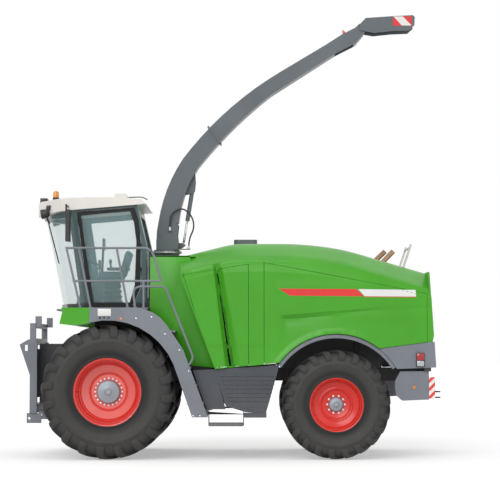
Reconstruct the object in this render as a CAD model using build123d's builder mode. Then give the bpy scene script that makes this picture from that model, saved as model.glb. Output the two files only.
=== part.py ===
"""Self-propelled forage harvester, all lengths in millimetres.

X points forward, Y to the machine's left and Z up. The origin lies on the ground, in the middle of
the machine's length and width. Every side outline is a list of (x, z) points.
"""

import os
from math import cos, radians, sin, sqrt, tan

from build123d import *

os.makedirs("parts", exist_ok=True)

# Overall
half_length = 3245
half_width = 1630
wheelbase = 3392
front_axle_x = 1842
rear_axle_x = front_axle_x - wheelbase

# Fits and gaps
running_fit = 0.06
seat_gap = 0.3
panel_gap = 6
sheet = 12
drum_sides = 14
hinge_sides = 6
arc_steps = 8

# Tyres and rims
front_tyre_radius = 1000
front_tyre_width = 800
front_rim_radius = 509
front_wheel_y = half_width - front_tyre_width / 2
rear_tyre_radius = 812
rear_tyre_width = 650
rear_rim_radius = 407
rear_wheel_y = 1235
front_lugs = 20
rear_lugs = 22
front_lug_height = 58
rear_lug_height = 50
lug_thickness = 76
rim_wall = 14
rim_lip = 22
centre_cap_radius = 45

# Axles and steering
axle_pad_z = 1150
final_drive_radius = 235
hub_radius = 165
kingpin_y = 900
trunnion_radius = 95
kingpin_cap_radius = 38
kingpin_cap_height = 18
trunnion_height = 300
yoke_thickness = 52
steer_arm = 230
steer_rod_radius = 22
steer_rod_sides = 12
steer_barrel_radius = 50
steer_barrel_half = 340

# Chassis
rail_inner_y = 260
rail_width = 90
rail_height = 200
rail_rear_x = -2860
rail_front_x = 2040
outrigger_height = 100
tail_beam_z = 1306
liner_inner_y = 470

# Towing jaw with its pin hole
hitch_root_x = -3060
hitch_x = -3185
hitch_z = 928
hitch_pin_radius = 20
hitch_gap = 70

# Chopping drum, crop duct and turntable
intake_pivot_x = 2250
intake_pivot_z = 1000
drum_housing_radius = 380
drum_half_width = 400
intake_pin_radius = 70
duct_half_width = 190
turntable_x = 1040
turntable_z = 3165
turntable_radius = 215
turntable_throat = 150

# Platform and cab
deck_z = 2250
deck_thickness = 25
deck_rear_x = 1250
deck_half_width = 1588
cab_half_width = 900
cab_wall = 60
cab_glass_inset = 24
cab_glass_thickness = 8
door_rear_x = 1396
roof_half_width = 960

# Mudguards and stairs
fender_radius = 1062
plate_y = 1600
tread_thickness = 30
cowl_half_width = 1128

# Hood
hood_half_width = 1450
hood_top_half = 1000
hood_wall = 25
shoulder_drop = 290
hood_top_z = 3250
seam_a_x = -474
seam_b_x = -248
arch_radius = rear_tyre_radius + 233
hinge_radius = 11
hinge_length = 60

# Spout
spout_pivot_x = 1150
spout_pivot_z = 3420
spout_half_width = 150
spout_pin_radius = 26
spout_wall = 10
cheek_inner_y = 162
cheek_thickness = 12
flap_pivot_x = -2040
flap_pivot_z = 6700
lift_rod_radius = 20
lift_barrel_radius = 34


def at_y(y):
    """Side plane y to the left: sketch x points forward, sketch y up, and it extrudes to the right."""
    return Plane.XZ.offset(-y)


def side_face(y, points):
    """Closed side outline of straight edges, on the plane y to the left."""
    with BuildSketch(at_y(y)) as outline:
        with BuildLine():
            Polyline(*points, close=True)
        make_face()
    return outline.sketch


def slab(points, y_low, y_high, mode=Mode.ADD):
    """Side outline made solid between two distances from the centre plane."""
    extrude(side_face(y_high, points), amount=y_high - y_low, mode=mode)


def block(xs, ys, zs, mode=Mode.ADD):
    """Box between its low and high limits on each axis."""
    with Locations(((xs[0] + xs[1]) / 2, (ys[0] + ys[1]) / 2, (zs[0] + zs[1]) / 2)):
        Box(xs[1] - xs[0], ys[1] - ys[0], zs[1] - zs[0], mode=mode)


def both_sides(low, high):
    """The same y limits on the left and on the right."""
    return ((low, high), (-high, -low))


def cross_rod(x, z, y_low, y_high, radius, mode=Mode.ADD):
    """Round bar or hole across the machine."""
    with Locations(Location((x, (y_low + y_high) / 2, z), (90, 0, 0))):
        Cylinder(radius, y_high - y_low, mode=mode)


def drum(x, z, y_low, y_high, radius, sides=drum_sides, mode=Mode.ADD):
    """Many-sided drum or hole across the machine, its flat sides at the radius."""
    with BuildSketch(at_y(y_high)) as end:
        with Locations((x, z)):
            RegularPolygon(radius, sides, major_radius=False)
    extrude(end.sketch, amount=y_high - y_low, mode=mode)


def bar(start, end, radius, sides=6, mode=Mode.ADD):
    """Straight many-sided bar between two points."""
    axis = Vector(*end) - Vector(*start)
    with BuildSketch(Plane(origin=start, z_dir=axis)) as section:
        RegularPolygon(radius, sides)
    extrude(section.sketch, amount=axis.length, mode=mode)


def upright_barrel(x, y, z, radius, length, mode=Mode.ADD):
    """Vertical hinge barrel standing on z, or the room for one."""
    if mode == Mode.ADD:
        bar((x, y, z), (x, y, z + length), radius, sides=hinge_sides)
    else:
        block((x - radius, x + radius), (y - radius, y + radius), (z, z + length), mode=mode)


def bowed(start, middle, end, steps=arc_steps):
    """Side-view points along the arc through three points, in equal steps."""
    arc = Edge.make_three_point_arc((*start, 0), (*middle, 0), (*end, 0))
    return [(arc.position_at(i / steps).X, arc.position_at(i / steps).Y) for i in range(steps + 1)]


def mirrored(part):
    """Copy of a left piece on the right side."""
    return mirror(part, about=Plane.XZ, mode=Mode.PRIVATE)


def on_circle(centre_x, centre_z, radius, angle):
    """Point of a side-view circle, its angle in degrees from forward towards up."""
    return (centre_x + radius * cos(radians(angle)), centre_z + radius * sin(radians(angle)))


def grown(points, amount):
    """Side outline moved out by an amount all round."""
    with BuildSketch(Plane.XY) as outline:
        with BuildLine():
            Polyline(*points, close=True)
        make_face()
        offset(amount=amount, kind=Kind.INTERSECTION, mode=Mode.REPLACE)
    corners = outline.sketch.faces()[0].outer_wire().order_edges()
    return [(edge.position_at(0).X, edge.position_at(0).Y) for edge in corners]


# Tyres and rims, made round the Y axis at the origin and then placed

def ring_solid(profile, sides):
    """Many-sided ring about the Y axis from a closed loop of (y, radius) points, radius 0 on the axis."""
    turns = [radians(360 * i / sides) for i in range(sides)]

    def corner(y, r, i):
        return Vector(r * cos(turns[i % sides]), y, r * sin(turns[i % sides]))

    faces = []
    for (y_from, r_from), (y_to, r_to) in zip(profile, profile[1:] + profile[:1]):
        if r_from == 0 and r_to == 0:
            continue
        if r_from == 0 or r_to == 0:
            faces.append(Face(Wire.make_polygon([corner(y_from, max(r_from, r_to), i) for i in range(sides)])))
            continue
        for i in range(sides):
            corners = [corner(y_from, r_from, i), corner(y_from, r_from, i + 1)]
            corners += [corner(y_to, r_to, i + 1), corner(y_to, r_to, i)]
            faces.append(Face(Wire.make_polygon(corners)))
    return Solid(Shell(faces))


def tyre(radius, width, rim_radius, lug_height, lugs):
    """Tyre with tall bars that run from the middle to each shoulder, their inner ends leading."""
    bead = rim_radius - rim_lip + seat_gap
    casing_profile = [
        (0.40 * width - 9, bead),
        (0.50 * width, 0.74 * radius),
        (0.44 * width, radius - lug_height),
        (-0.44 * width, radius - lug_height),
        (-0.50 * width, 0.74 * radius),
        (-0.40 * width + 9, bead),
    ]
    bar_sweep = 0.14 * width
    bar_top = sqrt(radius**2 - (bar_sweep + lug_thickness / 2) ** 2)
    bar_profile = [
        (-1, radius - 2 * lug_height),
        (-1, bar_top),
        (0.42 * width, bar_top - 0.3 * lug_height),
        (0.475 * width, 0.79 * radius),
    ]
    # Columns: distance back from the bar's middle, distance from the tyre's middle, half thickness
    bar_plan = [(-bar_sweep, -1, 0.5 * lug_thickness), (bar_sweep, 0.50 * width, 0.6 * lug_thickness)]
    with BuildPart() as tread_bar:
        with BuildSketch(Plane.YZ.offset(-radius / 4)):
            with BuildLine():
                Polyline(*bar_profile, close=True)
            make_face()
        extrude(amount=radius / 2)
        with BuildSketch(Plane.XY.offset(radius / 2)):
            with BuildLine():
                Polyline(
                    *[(half - back, out) for back, out, half in bar_plan],
                    *[(-half - back, out) for back, out, half in reversed(bar_plan)],
                    close=True,
                )
            make_face()
        extrude(amount=radius, mode=Mode.INTERSECT)
    far_bar = mirrored(tread_bar.part)
    pitch = 360 / lugs
    bars = [tread_bar.part.rotate(Axis.Y, pitch * i) for i in range(lugs)]
    bars += [far_bar.rotate(Axis.Y, pitch * (i + 0.5)) for i in range(lugs)]
    with BuildPart() as casing:
        add(ring_solid(casing_profile, lugs))
        add(bars)
    return casing.part


def rim(rim_radius, width, sides, disc_radii, disc_ys, hub_out):
    """Rim with its barrel, its dished disc and the hub's cover, the outer side towards +Y."""
    half = 0.40 * width
    bead_seat = rim_radius - rim_lip
    edge, shoulder, seat, hub = disc_radii
    y_edge, y_shoulder, y_seat = disc_ys
    profile = [
        (half + rim_wall, bead_seat - rim_wall),
        (half + rim_wall, rim_radius),
        (half, bead_seat),
        (-half, bead_seat),
        (-half - rim_wall, rim_radius),
        (-half - rim_wall, bead_seat - rim_wall),
        (y_edge - rim_wall, edge),
        (y_seat - rim_wall, seat),
        (y_seat - rim_wall, 0),
        (y_seat, 0),
        (y_seat, seat),
        (y_shoulder, shoulder),
        (y_edge, edge),
    ]
    with BuildPart() as wheel:
        add(ring_solid(profile, sides))
        drum(0, 0, y_seat - 1, y_seat + hub_out, hub, sides=sides // 2)
        cross_rod(0, 0, y_seat + hub_out - 1, y_seat + hub_out + 12, centre_cap_radius)
    return wheel.part


front_disc_y = 45
rear_disc_y = 55
front_tyre = tyre(front_tyre_radius, front_tyre_width, front_rim_radius, front_lug_height, front_lugs)
rear_tyre = tyre(rear_tyre_radius, rear_tyre_width, rear_rim_radius, rear_lug_height, rear_lugs)
front_rim = rim(
    front_rim_radius, front_tyre_width, front_lugs, (440, 402, 284, 170), (150, 120, front_disc_y), 95
)
rear_rim = rim(rear_rim_radius, rear_tyre_width, rear_lugs, (338, 238, 195, 108), (110, 75, rear_disc_y), 70)

# Front axle: a centre casing with a tube and a final drive on each side
front_disc_back_y = front_wheel_y + front_disc_y - rim_wall
with BuildPart() as front_axle:
    block((front_axle_x - 150, front_axle_x + 150), (-400, 400), (850, axle_pad_z))
    for y_low, y_high in both_sides(395, 800):
        drum(front_axle_x, front_tyre_radius, y_low, y_high, 130)
    for y_low, y_high in both_sides(795, 930):
        drum(front_axle_x, front_tyre_radius, y_low, y_high, final_drive_radius)
    for y_low, y_high in both_sides(925, front_disc_back_y - seat_gap):
        drum(front_axle_x, front_tyre_radius, y_low, y_high, hub_radius)

# Rear axle: a beam with a yoke at each end, the pad under the chassis and the steering barrel
yoke_low_z = rear_tyre_radius - trunnion_height / 2
yoke_high_z = rear_tyre_radius + trunnion_height / 2
steer_x = rear_axle_x - steer_arm
steer_z = rear_tyre_radius - 37
with BuildPart() as rear_axle:
    block((rear_axle_x - 90, rear_axle_x + 90), (-760, 760), (rear_tyre_radius - 90, rear_tyre_radius + 90))
    block((rear_axle_x - 100, rear_axle_x + 100), (-200, 200), (rear_tyre_radius + 80, axle_pad_z))
    for y_low, y_high in both_sides(735, 790):
        block(
            (rear_axle_x - 80, rear_axle_x + 80),
            (y_low, y_high),
            (yoke_low_z - yoke_thickness, yoke_high_z + yoke_thickness),
        )
    for z_low in (yoke_low_z - yoke_thickness, yoke_high_z + seat_gap):
        for y_low, y_high in both_sides(780, kingpin_y):
            block((rear_axle_x - 80, rear_axle_x + 80), (y_low, y_high), (z_low, z_low + yoke_thickness - seat_gap))
        for y in (kingpin_y, -kingpin_y):
            bar((rear_axle_x, y, z_low), (rear_axle_x, y, z_low + yoke_thickness - seat_gap), 80, sides=8)
    for y in (kingpin_y, -kingpin_y):
        with Locations((rear_axle_x, y, yoke_high_z + yoke_thickness)):
            Cylinder(kingpin_cap_radius, 2 * kingpin_cap_height)
    drum(steer_x, steer_z, -steer_barrel_half, steer_barrel_half, steer_barrel_radius, sides=steer_rod_sides)
    for y_low, y_high in both_sides(120, 180):
        block((steer_x, rear_axle_x - 80), (y_low, y_high), (steer_z - 40, steer_z + 40))
    drum(steer_x, steer_z, -1000, 1000, steer_rod_radius + running_fit, sides=steer_rod_sides, mode=Mode.SUBTRACT)

with BuildPart() as steering_rod:
    drum(steer_x, steer_z, -kingpin_y + 45, kingpin_y - 45, steer_rod_radius, sides=steer_rod_sides)

# Steering knuckle: trunnion between the yoke's arms, spindle to the wheel's disc and steering arm
rear_disc_back_y = rear_wheel_y + rear_disc_y - rim_wall
arm_z = steer_z + steer_rod_radius / cos(radians(180 / steer_rod_sides)) + seat_gap
with BuildPart() as knuckle_left:
    bar(
        (rear_axle_x, kingpin_y, yoke_low_z + seat_gap), (rear_axle_x, kingpin_y, yoke_high_z - seat_gap),
        trunnion_radius, sides=drum_sides,
    )
    drum(rear_axle_x, rear_tyre_radius, kingpin_y, 1010, 120)
    drum(rear_axle_x, rear_tyre_radius, 1005, 1085, 185)
    drum(rear_axle_x, rear_tyre_radius, 1080, rear_disc_back_y - seat_gap, 100)
    block((steer_x - 40, rear_axle_x), (kingpin_y - 40, kingpin_y + 25), (arm_z, arm_z + 45))
knuckle_right = mirrored(knuckle_left.part)

# Chassis: two rails, cross members, outriggers and the uprights under the deck
rail_top = axle_pad_z + rail_height
rail_outer_y = rail_inner_y + rail_width
with BuildPart() as chassis_rails:
    for ys in both_sides(rail_inner_y, rail_outer_y):
        block((rail_rear_x, rail_front_x), ys, (axle_pad_z, rail_top))
    # Columns: middle of the cross member, half its length along the machine
    for x, half in ((600, 50), (-360, 60), (rear_axle_x, 100), (-2600, 50)):
        block((x - half, x + half), (-rail_inner_y - 1, rail_inner_y + 1), (axle_pad_z, rail_top))

post_front_x = 1960
post_rear_x = 1460
hood_post_x = -360
hood_post_ys = (660, 740)
outrigger_low_z = rail_top - outrigger_height
with BuildPart() as chassis_brackets:
    # Columns: middle of the outrigger, half its length along the machine, its reach to the side
    for x, half, reach in (
        (470, 60, cowl_half_width - hood_wall),
        (hood_post_x, 60, 1388),
        (rear_axle_x - 370, 30, liner_inner_y),
    ):
        for ys in both_sides(rail_outer_y, reach):
            block((x - half, x + half), ys, (outrigger_low_z, rail_top))
    for x in (post_rear_x, post_front_x):
        for ys in both_sides(rail_inner_y, rail_outer_y):
            block((x - 45, x + 45), ys, (rail_top, deck_z - deck_thickness))
    for ys in both_sides(*hood_post_ys):
        block((hood_post_x - 40, hood_post_x + 40), ys, (rail_top - 1, hood_top_z - hood_wall))

with BuildPart() as tail_frame:
    block((rail_rear_x - 100, rail_rear_x), (-1420, 1420), (tail_beam_z, rail_top + 50))
    block((hitch_root_x, rail_rear_x), (-90, 90), (850, 1340))
    block((hitch_x, hitch_root_x + 1), (-80, 80), (hitch_z - 55, hitch_z + 55))
    with BuildSketch(Plane.XY.offset(hitch_z - 55)):
        with Locations((hitch_x, 0)):
            RegularPolygon(half_length + hitch_x, 8, major_radius=False, rotation=22.5)
    extrude(amount=110)
    block(
        (-half_length - 1, hitch_root_x - 60), (-100, 100), (hitch_z - hitch_gap / 2, hitch_z + hitch_gap / 2),
        mode=Mode.SUBTRACT,
    )
    with Locations((hitch_x, 0, hitch_z)):
        Cylinder(hitch_pin_radius, 200, mode=Mode.SUBTRACT)

with BuildPart() as engine_block:
    block((-2300, -750), (-390, 390), (rail_top, 2400))
    chamfer(engine_block.edges().filter_by(Axis.X).group_by(Axis.Z)[-1], 90)

# Chopping drum housing and the duct that takes the crop over the axle and up behind the cab
drum_outline = [(rail_front_x, 700), (rail_front_x, 1640), (2330, 1500), (2330, 640), (2200, 640)]
with BuildPart() as chopper_housing:
    drum(intake_pivot_x, intake_pivot_z, -drum_half_width, drum_half_width, drum_housing_radius)
    slab(drum_outline, -drum_half_width, drum_half_width)
    block((1600, rail_front_x), (-drum_half_width, drum_half_width), (0, 2000), mode=Mode.SUBTRACT)
    for y_low, y_high in both_sides(drum_half_width - 1, drum_half_width + 60):
        cross_rod(intake_pivot_x, intake_pivot_z, y_low, y_high, intake_pin_radius)

turntable_back_x = turntable_x - duct_half_width
turntable_front_x = turntable_x + duct_half_width
duct_outline = [
    (rail_front_x, 1210),
    (rail_front_x, 1640),
    (turntable_front_x, 2120),
    (turntable_front_x, turntable_z - 32),
    (turntable_back_x, turntable_z - 32),
    (turntable_back_x, 1750),
    (1250, 1210),
]
with BuildPart() as crop_duct:
    slab(duct_outline, -duct_half_width, duct_half_width)
    with BuildSketch(Plane.XY.offset(turntable_z - 33)):
        with Locations((turntable_x, 0)):
            Circle(turntable_radius)
    extrude(amount=33)
    with BuildSketch(Plane.XY.offset(turntable_z - 60)):
        with Locations((turntable_x, 0)):
            RegularPolygon(turntable_throat, drum_sides)
    extrude(amount=120, mode=Mode.SUBTRACT)

# Feeder intake: housing behind the header frame, lifted about the chopping drum's axis
header_back_x = 2976
intake_gap_radius = drum_housing_radius + 28
intake_half_width = 430
with BuildPart() as intake_housing:
    block((2600, header_back_x), (-intake_half_width, intake_half_width), (800, 1720))
    block((2500, header_back_x + 1), (-intake_half_width + 20, intake_half_width - 20), (840, 1640), mode=Mode.SUBTRACT)
    drum(intake_pivot_x, intake_pivot_z, -500, 500, intake_gap_radius, mode=Mode.SUBTRACT)
    arm = [(intake_pivot_x, 870), (2700, 840), (2700, 1180), (intake_pivot_x, 1130)]
    for y_low, y_high in both_sides(intake_half_width - 20, intake_half_width):
        slab(arm, y_low, y_high)
        drum(intake_pivot_x, intake_pivot_z, y_low, y_high, 130)
        drum(
            intake_pivot_x, intake_pivot_z, y_low - 1, y_high + 1, intake_pin_radius + running_fit, mode=Mode.SUBTRACT
        )

with BuildPart() as feed_rolls:
    for x, z, radius in ((2800, 980, 110), (2800, 1340, 130)):
        drum(x, z, -intake_half_width + 20 + seat_gap, intake_half_width - 20 - seat_gap, radius)

frame_front_x = header_back_x + 108
frame_inner_y = 700
frame_outer_y = 800
hook_outline = [(frame_front_x - 1, 1784), (frame_front_x + 30, 1784), (half_length, 1705), (frame_front_x - 1, 1230)]
hook_slot = [(3120, 1610), (3120, 1700), (3165, 1700), (3165, 1610)]
with BuildPart() as header_frame:
    for ys in both_sides(frame_inner_y, frame_outer_y):
        block((header_back_x, frame_front_x), ys, (664, 1744))
        block((header_back_x + 24, frame_front_x), ys, (1743, 2032))
        block((header_back_x - 64, header_back_x + 30), (ys[0] + 25, ys[1] - 25), (1985, 2138))
        block((2910, 3128), (ys[0] + 25, ys[1] - 25), (514, 665))
    for z_low, z_high in ((664, 800), (1720, 1800), (1960, 2032)):
        block((header_back_x + 24, frame_front_x), (-frame_inner_y - 1, frame_inner_y + 1), (z_low, z_high))
    for y_low, y_high in both_sides(frame_inner_y + 40, frame_outer_y - 30):
        slab(hook_outline, y_low, y_high)
        slab(hook_slot, y_low - 1, y_high + 1, mode=Mode.SUBTRACT)
        cross_rod(3092, 585, y_low - 60, y_high + 60, 20, mode=Mode.SUBTRACT)
    for ys in both_sides(intake_half_width - 60, frame_inner_y + 1):
        block((header_back_x, header_back_x + 40), ys, (900, 1640))

# Platform deck, its front corners left to the lamp housings
lamp_rear_x = 2108
lamp_inner_y = 1085
deck_plan = [
    (deck_rear_x, deck_half_width),
    (lamp_rear_x, deck_half_width),
    (lamp_rear_x, lamp_inner_y),
    (2560, lamp_inner_y),
    (2640, 700),
    (2700, 620),
    (2700, -620),
    (2640, -700),
    (2560, -lamp_inner_y),
    (lamp_rear_x, -lamp_inner_y),
    (lamp_rear_x, -deck_half_width),
    (deck_rear_x, -deck_half_width),
]
with BuildPart() as platform:
    with BuildSketch(Plane.XY.offset(deck_z - deck_thickness)):
        with BuildLine():
            Polyline(*deck_plan, close=True)
        make_face()
    extrude(amount=deck_thickness)

lamp_outline = [
    (lamp_rear_x, 2020),
    (2353, 1985),
    (2552, 2010),
    (2510, 2195),
    (2525, deck_z),
    (lamp_rear_x, deck_z),
]
with BuildPart() as lamp_housings:
    for y_low, y_high in both_sides(lamp_inner_y, deck_half_width):
        slab(lamp_outline, y_low, y_high)

# Mudguards: an outer plate that runs down beside the stairs, and the sheet over the tyre
fender_front = on_circle(front_axle_x, front_tyre_radius, fender_radius, 75.5)
fender_top = on_circle(front_axle_x, front_tyre_radius, fender_radius, 115)
fender_rear = on_circle(front_axle_x, front_tyre_radius, fender_radius, 158)
fender_foot = (588, 631)
fender_arc = bowed(fender_front, fender_top, fender_rear)
fender_over = [
    on_circle(front_axle_x, front_tyre_radius, fender_radius + sheet, angle) for angle in (75.5, 115, 158)
]
with BuildPart() as mudguard:
    plate = [(lamp_rear_x, fender_front[1]), (lamp_rear_x, deck_z)]
    plate += bowed((1436, deck_z), (1175, 2180), (965, 1990), 4)
    plate += [(719, 1626), (352, 631), fender_foot]
    slab(plate + fender_arc[::-1], plate_y - sheet, plate_y)
    sheet_outline = fender_arc + [fender_foot, (fender_foot[0] - sheet, fender_foot[1])]
    slab(sheet_outline + bowed(*fender_over)[::-1], 840, plate_y - sheet)
    block((lamp_rear_x, lamp_rear_x + 100), (0, 2000), (1500, 2500), mode=Mode.SUBTRACT)
with BuildPart() as mudguards:
    add(mudguard.part)
    mirror(about=Plane.XZ)


def plate_front_x(z):
    """Front edge of the stairs at a height: the back of the mudguard's sheet."""
    share = (z - fender_foot[1]) / (fender_rear[1] - fender_foot[1])
    if share <= 1:
        return fender_foot[0] + (fender_rear[0] - fender_foot[0]) * share
    return front_axle_x - sqrt((fender_radius + sheet) ** 2 - (z - front_tyre_radius) ** 2)


def plate_rear_x(z):
    """Rear edge of the stairs at a height: the outer plate's sloping edge."""
    return 352 + (z - 631) * (719 - 352) / (1626 - 631)


# Stairs: treads between the outer plate and the inner stringer
tread_rise = 265
stair_low_z = 850
step_rear_x = -163
step_front_x = 337
step_inner_y = 1290
step_low_z = 500
step_height = 45
step_hanger = 15
step_hanger_z = 900
skirt_y = 1400
with BuildPart() as stairs:
    stringer = [
        (plate_rear_x(800), 800),
        (plate_front_x(800) - sheet - 16, 800),
        (plate_front_x(1380) - sheet - 16, 1380),
        (plate_front_x(1700) - 40, 1700),
        (plate_rear_x(1700) + 40, 1700),
    ]
    slab(stringer, cowl_half_width, cowl_half_width + sheet)
    for i in range(4):
        z = stair_low_z + tread_rise * i
        x_front = plate_front_x(z) - sheet - 16
        block((x_front - 215, x_front), (cowl_half_width + 1, plate_y - sheet), (z - tread_thickness, z))
    block((835, 1040), (cowl_half_width + 1, plate_y - sheet), (1915 - tread_thickness, 1915))
    slab([(790, 1600), (860, 1600), (1000, 1915), (880, 1915)], cowl_half_width, cowl_half_width + sheet)
    # Access step hung behind the side skirts
    block((step_rear_x, step_front_x), (step_inner_y, plate_y - sheet), (step_low_z, step_low_z + step_height))
    for x_low in (step_rear_x - step_hanger, step_front_x):
        block((x_low, x_low + step_hanger), (step_inner_y, skirt_y - sheet), (step_low_z, step_hanger_z))

# Handrails in one plane beside the deck
rail_y = deck_half_width - 17
rail_radius = 17
rail_points = {
    "top": [(2457, 3134), (1238, 3134), (1157, 3030), (1050, 2640)],
    "middle": [(2348, 2644), (1050, 2644)],
    "rear hoop": [(1433, deck_z + 1), (1467, 2500), (1408, 2563), (990, 2563), (567, 1500), (640, 1400)],
}
post_points = [
    ((2246, deck_z), (2457, 3134)),
    ((2095, deck_z), (2272, 3134)),
    ((1545, deck_z), (1711, 3134)),
    ((1310, deck_z), (1310, 2644)),
]
with BuildPart() as handrails:
    for path in rail_points.values():
        for start, end in zip(path, path[1:]):
            along = (Vector(*end) - Vector(*start)).normalized() * (rail_radius / 2)
            bar(
                (start[0] - along.X, rail_y, start[1] - along.Y), (end[0] + along.X, rail_y, end[1] + along.Y),
                rail_radius,
            )
    for low, high in post_points:
        bar((low[0], rail_y, low[1]), (high[0], rail_y, high[1]), rail_radius - 1)
    block((1000, 2600), (rail_y - 40, rail_y + 40), (deck_z - 60, deck_z), mode=Mode.SUBTRACT)

# Cab: walls, roof and glass come from one closed form, narrower towards the floor at the front
# Columns: height, front corner at the side, middle of the windscreen, rear wall
cab_sections = [
    (deck_z, 2240, 2670, 1306),
    (3200, 2372, 2862, 1306),
    (3900, 2472, 3010, 1470),
]


cab_bow_shares = (-1, -0.55, 0, 0.55, 1)


def cab_form(inset, z_low, z_high):
    """Closed cab form, its walls moved in by inset and cut at two heights."""
    with BuildPart() as form:
        for z, x_corner, x_nose, x_rear in cab_sections:
            half = cab_half_width - inset
            with BuildSketch(Plane.XY.offset(z)):
                bow = [
                    (x_nose - inset - (x_nose - x_corner - 0.6 * inset) * share**2, half * share)
                    for share in cab_bow_shares
                ]
                with BuildLine():
                    Polyline(*bow, (x_rear + inset, half), (x_rear + inset, -half), close=True)
                make_face()
        loft(ruled=True)
        block((0, 4000), (-2000, 2000), (z_low, z_high), mode=Mode.INTERSECT)
    return form.part


roof_under = [(1200, 3852), (1468, 3831), (2455, 3748), (2672, 3725), (2842, 3690), (3100, 3660)]
over_roof = roof_under + [(3100, 4300), (1200, 4300)]
door_outline = [
    (2165, 2290), (2372, 3722), (1500, 3796), (1437, 3600), (door_rear_x, 3275), (door_rear_x, 2577), (1520, 2290)
]
door_window = [(2110, 2345), (2310, 3670), (1560, 3735), (1500, 3560), (1462, 3270), (1486, 2600), (1560, 2345)]
door_hinge_x = door_rear_x - panel_gap / 2
door_hinge_zs = (2760, 3120)


cab_outer = cab_form(0, deck_z, 3880)
cab_inner = cab_form(cab_wall, deck_z - 10, 3900)
glass_outer = cab_form(cab_glass_inset, deck_z, 3880)
glass_inner = cab_form(cab_glass_inset + cab_glass_thickness, deck_z - 10, 3900)
screen_low_z = 2330
screen_half = 830
with BuildPart() as cab_shell:
    add(cab_outer)
    add(cab_inner, mode=Mode.SUBTRACT)
    slab(over_roof, -2000, 2000, mode=Mode.SUBTRACT)
with BuildPart() as windscreen_space:
    block((2250, 3200), (-screen_half, screen_half), (screen_low_z, 3640))
with BuildPart() as rear_window_space:
    block((1200, 1500), (-640, 640), (2420, 3700))
with BuildPart() as right_window_space:
    slab(door_window, -1000, -600)
with BuildPart() as door_window_space:
    slab(door_window, 600, 1000)

with BuildPart() as cab_frame:
    add(cab_shell.part)
    for space in (windscreen_space, rear_window_space, right_window_space):
        add(space.part, mode=Mode.SUBTRACT)
    slab(grown(door_outline, panel_gap), cab_half_width - cab_wall - 1, 1000, mode=Mode.SUBTRACT)
    for z in door_hinge_zs:
        upright_barrel(
            door_hinge_x, cab_half_width, z + hinge_length, hinge_radius + 2, hinge_length + 6, mode=Mode.SUBTRACT
        )
        upright_barrel(door_hinge_x, cab_half_width, z, hinge_radius, hinge_length)

with BuildPart() as glass_sheet:
    add(glass_outer)
    add(glass_inner, mode=Mode.SUBTRACT)
with BuildPart() as cab_glass:
    for space in (windscreen_space, rear_window_space, right_window_space):
        with BuildPart(mode=Mode.PRIVATE) as pane:
            add(glass_sheet.part)
            add(space.part, mode=Mode.INTERSECT)
        add(pane.part)

with BuildPart() as cab_door:
    add(cab_shell.part)
    slab(door_outline, cab_half_width - cab_wall, 1000, mode=Mode.INTERSECT)
    add(door_window_space.part, mode=Mode.SUBTRACT)
    for z in door_hinge_zs:
        upright_barrel(
            door_hinge_x, cab_half_width, z - 3, hinge_radius + 2, hinge_length + 3 + seat_gap, mode=Mode.SUBTRACT
        )
        upright_barrel(door_hinge_x, cab_half_width, z + hinge_length + seat_gap, hinge_radius, hinge_length)
with BuildPart() as cab_door_glass:
    add(glass_sheet.part)
    add(door_window_space.part, mode=Mode.INTERSECT)

# Cab roof: a slab with a raised pod, its visor drooping over the windscreen
roof_outline = [
    (1315, 3844), (1391, 3916), (1600, 3938), (1624, 4000), (1779, 4000), (1800, 3944),
    (2494, 3934), (2936, 3896), (3037, 3880), (3050, 3700), (2842, 3690), (2672, 3725), (2455, 3748), (1468, 3831)
]
with BuildPart() as cab_roof:
    slab(roof_outline, -roof_half_width, roof_half_width)
    with BuildSketch(Plane.XY.offset(3600)):
        with BuildLine():
            Polyline(
                (1300, roof_half_width), (2600, roof_half_width), (2960, 640), (3020, 320), (3040, 0),
                (3020, -320), (2960, -640), (2600, -roof_half_width), (1300, -roof_half_width), close=True
            )
        make_face()
    extrude(amount=500, mode=Mode.INTERSECT)

with BuildPart() as mirrors:
    for side in (1, -1):
        bar((2500, side * roof_half_width, 3800), (2500, side * 1230, 3800), 14)
        bar((2500, side * 1230, 3814), (2490, side * 1230, 3500), 14)
        block((2440, 2500), (side * 1230 - 110, side * 1230 + 110), (3252, 3728))

with BuildPart() as roof_lamps:
    for side in (1, -1):
        block((2840, 2960), (side * 560 - 90, side * 560 + 90), (3880, 3960))
    bar((2700, 800, 3905), (2700, 800, 4055), 55, sides=drum_sides)
    add(cab_roof.part, mode=Mode.SUBTRACT)

# Seat and steering console
with BuildPart() as seat:
    block((1690, 2090), (-250, 250), (2722, 2846))
    slab([(1560, 3190), (1650, 3190), (1790, 2722), (1691, 2722)], -240, 240)
    block((1840, 2060), (-140, 140), (deck_z, 2723))
with BuildPart() as console:
    bar((2400, 0, deck_z - 40), (2286, 0, 3040), 50)
    with BuildSketch(Plane(origin=(2285, 0, 3030), x_dir=(0, 1, 0), z_dir=(-0.45, 0, 1))):
        RegularPolygon(200, drum_sides)
        RegularPolygon(170, drum_sides, mode=Mode.SUBTRACT)
        Rectangle(380, 40)
    extrude(amount=26)
    block((1960, 2260), (-560, -360), (deck_z, 2760))
    bar((2100, -460, 2750), (2080, -460, 3240), 22)
    block((2050, 2090), (-590, -330), (3220, 3400))
    block((1500, 2700), (-900, 900), (deck_z - 200, deck_z), mode=Mode.SUBTRACT)

# Hood: one closed outer form and one inner form give its walls, then the seams part it
seam_c = [(253, 1340), (572, 2183), (760, 2680), (783, 3050)]
tail_top = (-2945, 2795)
tail_low = (-3006, 1840)
tail_corner = (-2985, 1745)
hood_fall = [(-900, hood_top_z), (-1240, 3226), (-1580, 3180), (-1870, 3113), (-2161, 3022)]


hood_crown = [(900, 3021), (-20, hood_top_z), *hood_fall, (-3300, 2692)]
hood_sky_z = 3400


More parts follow.
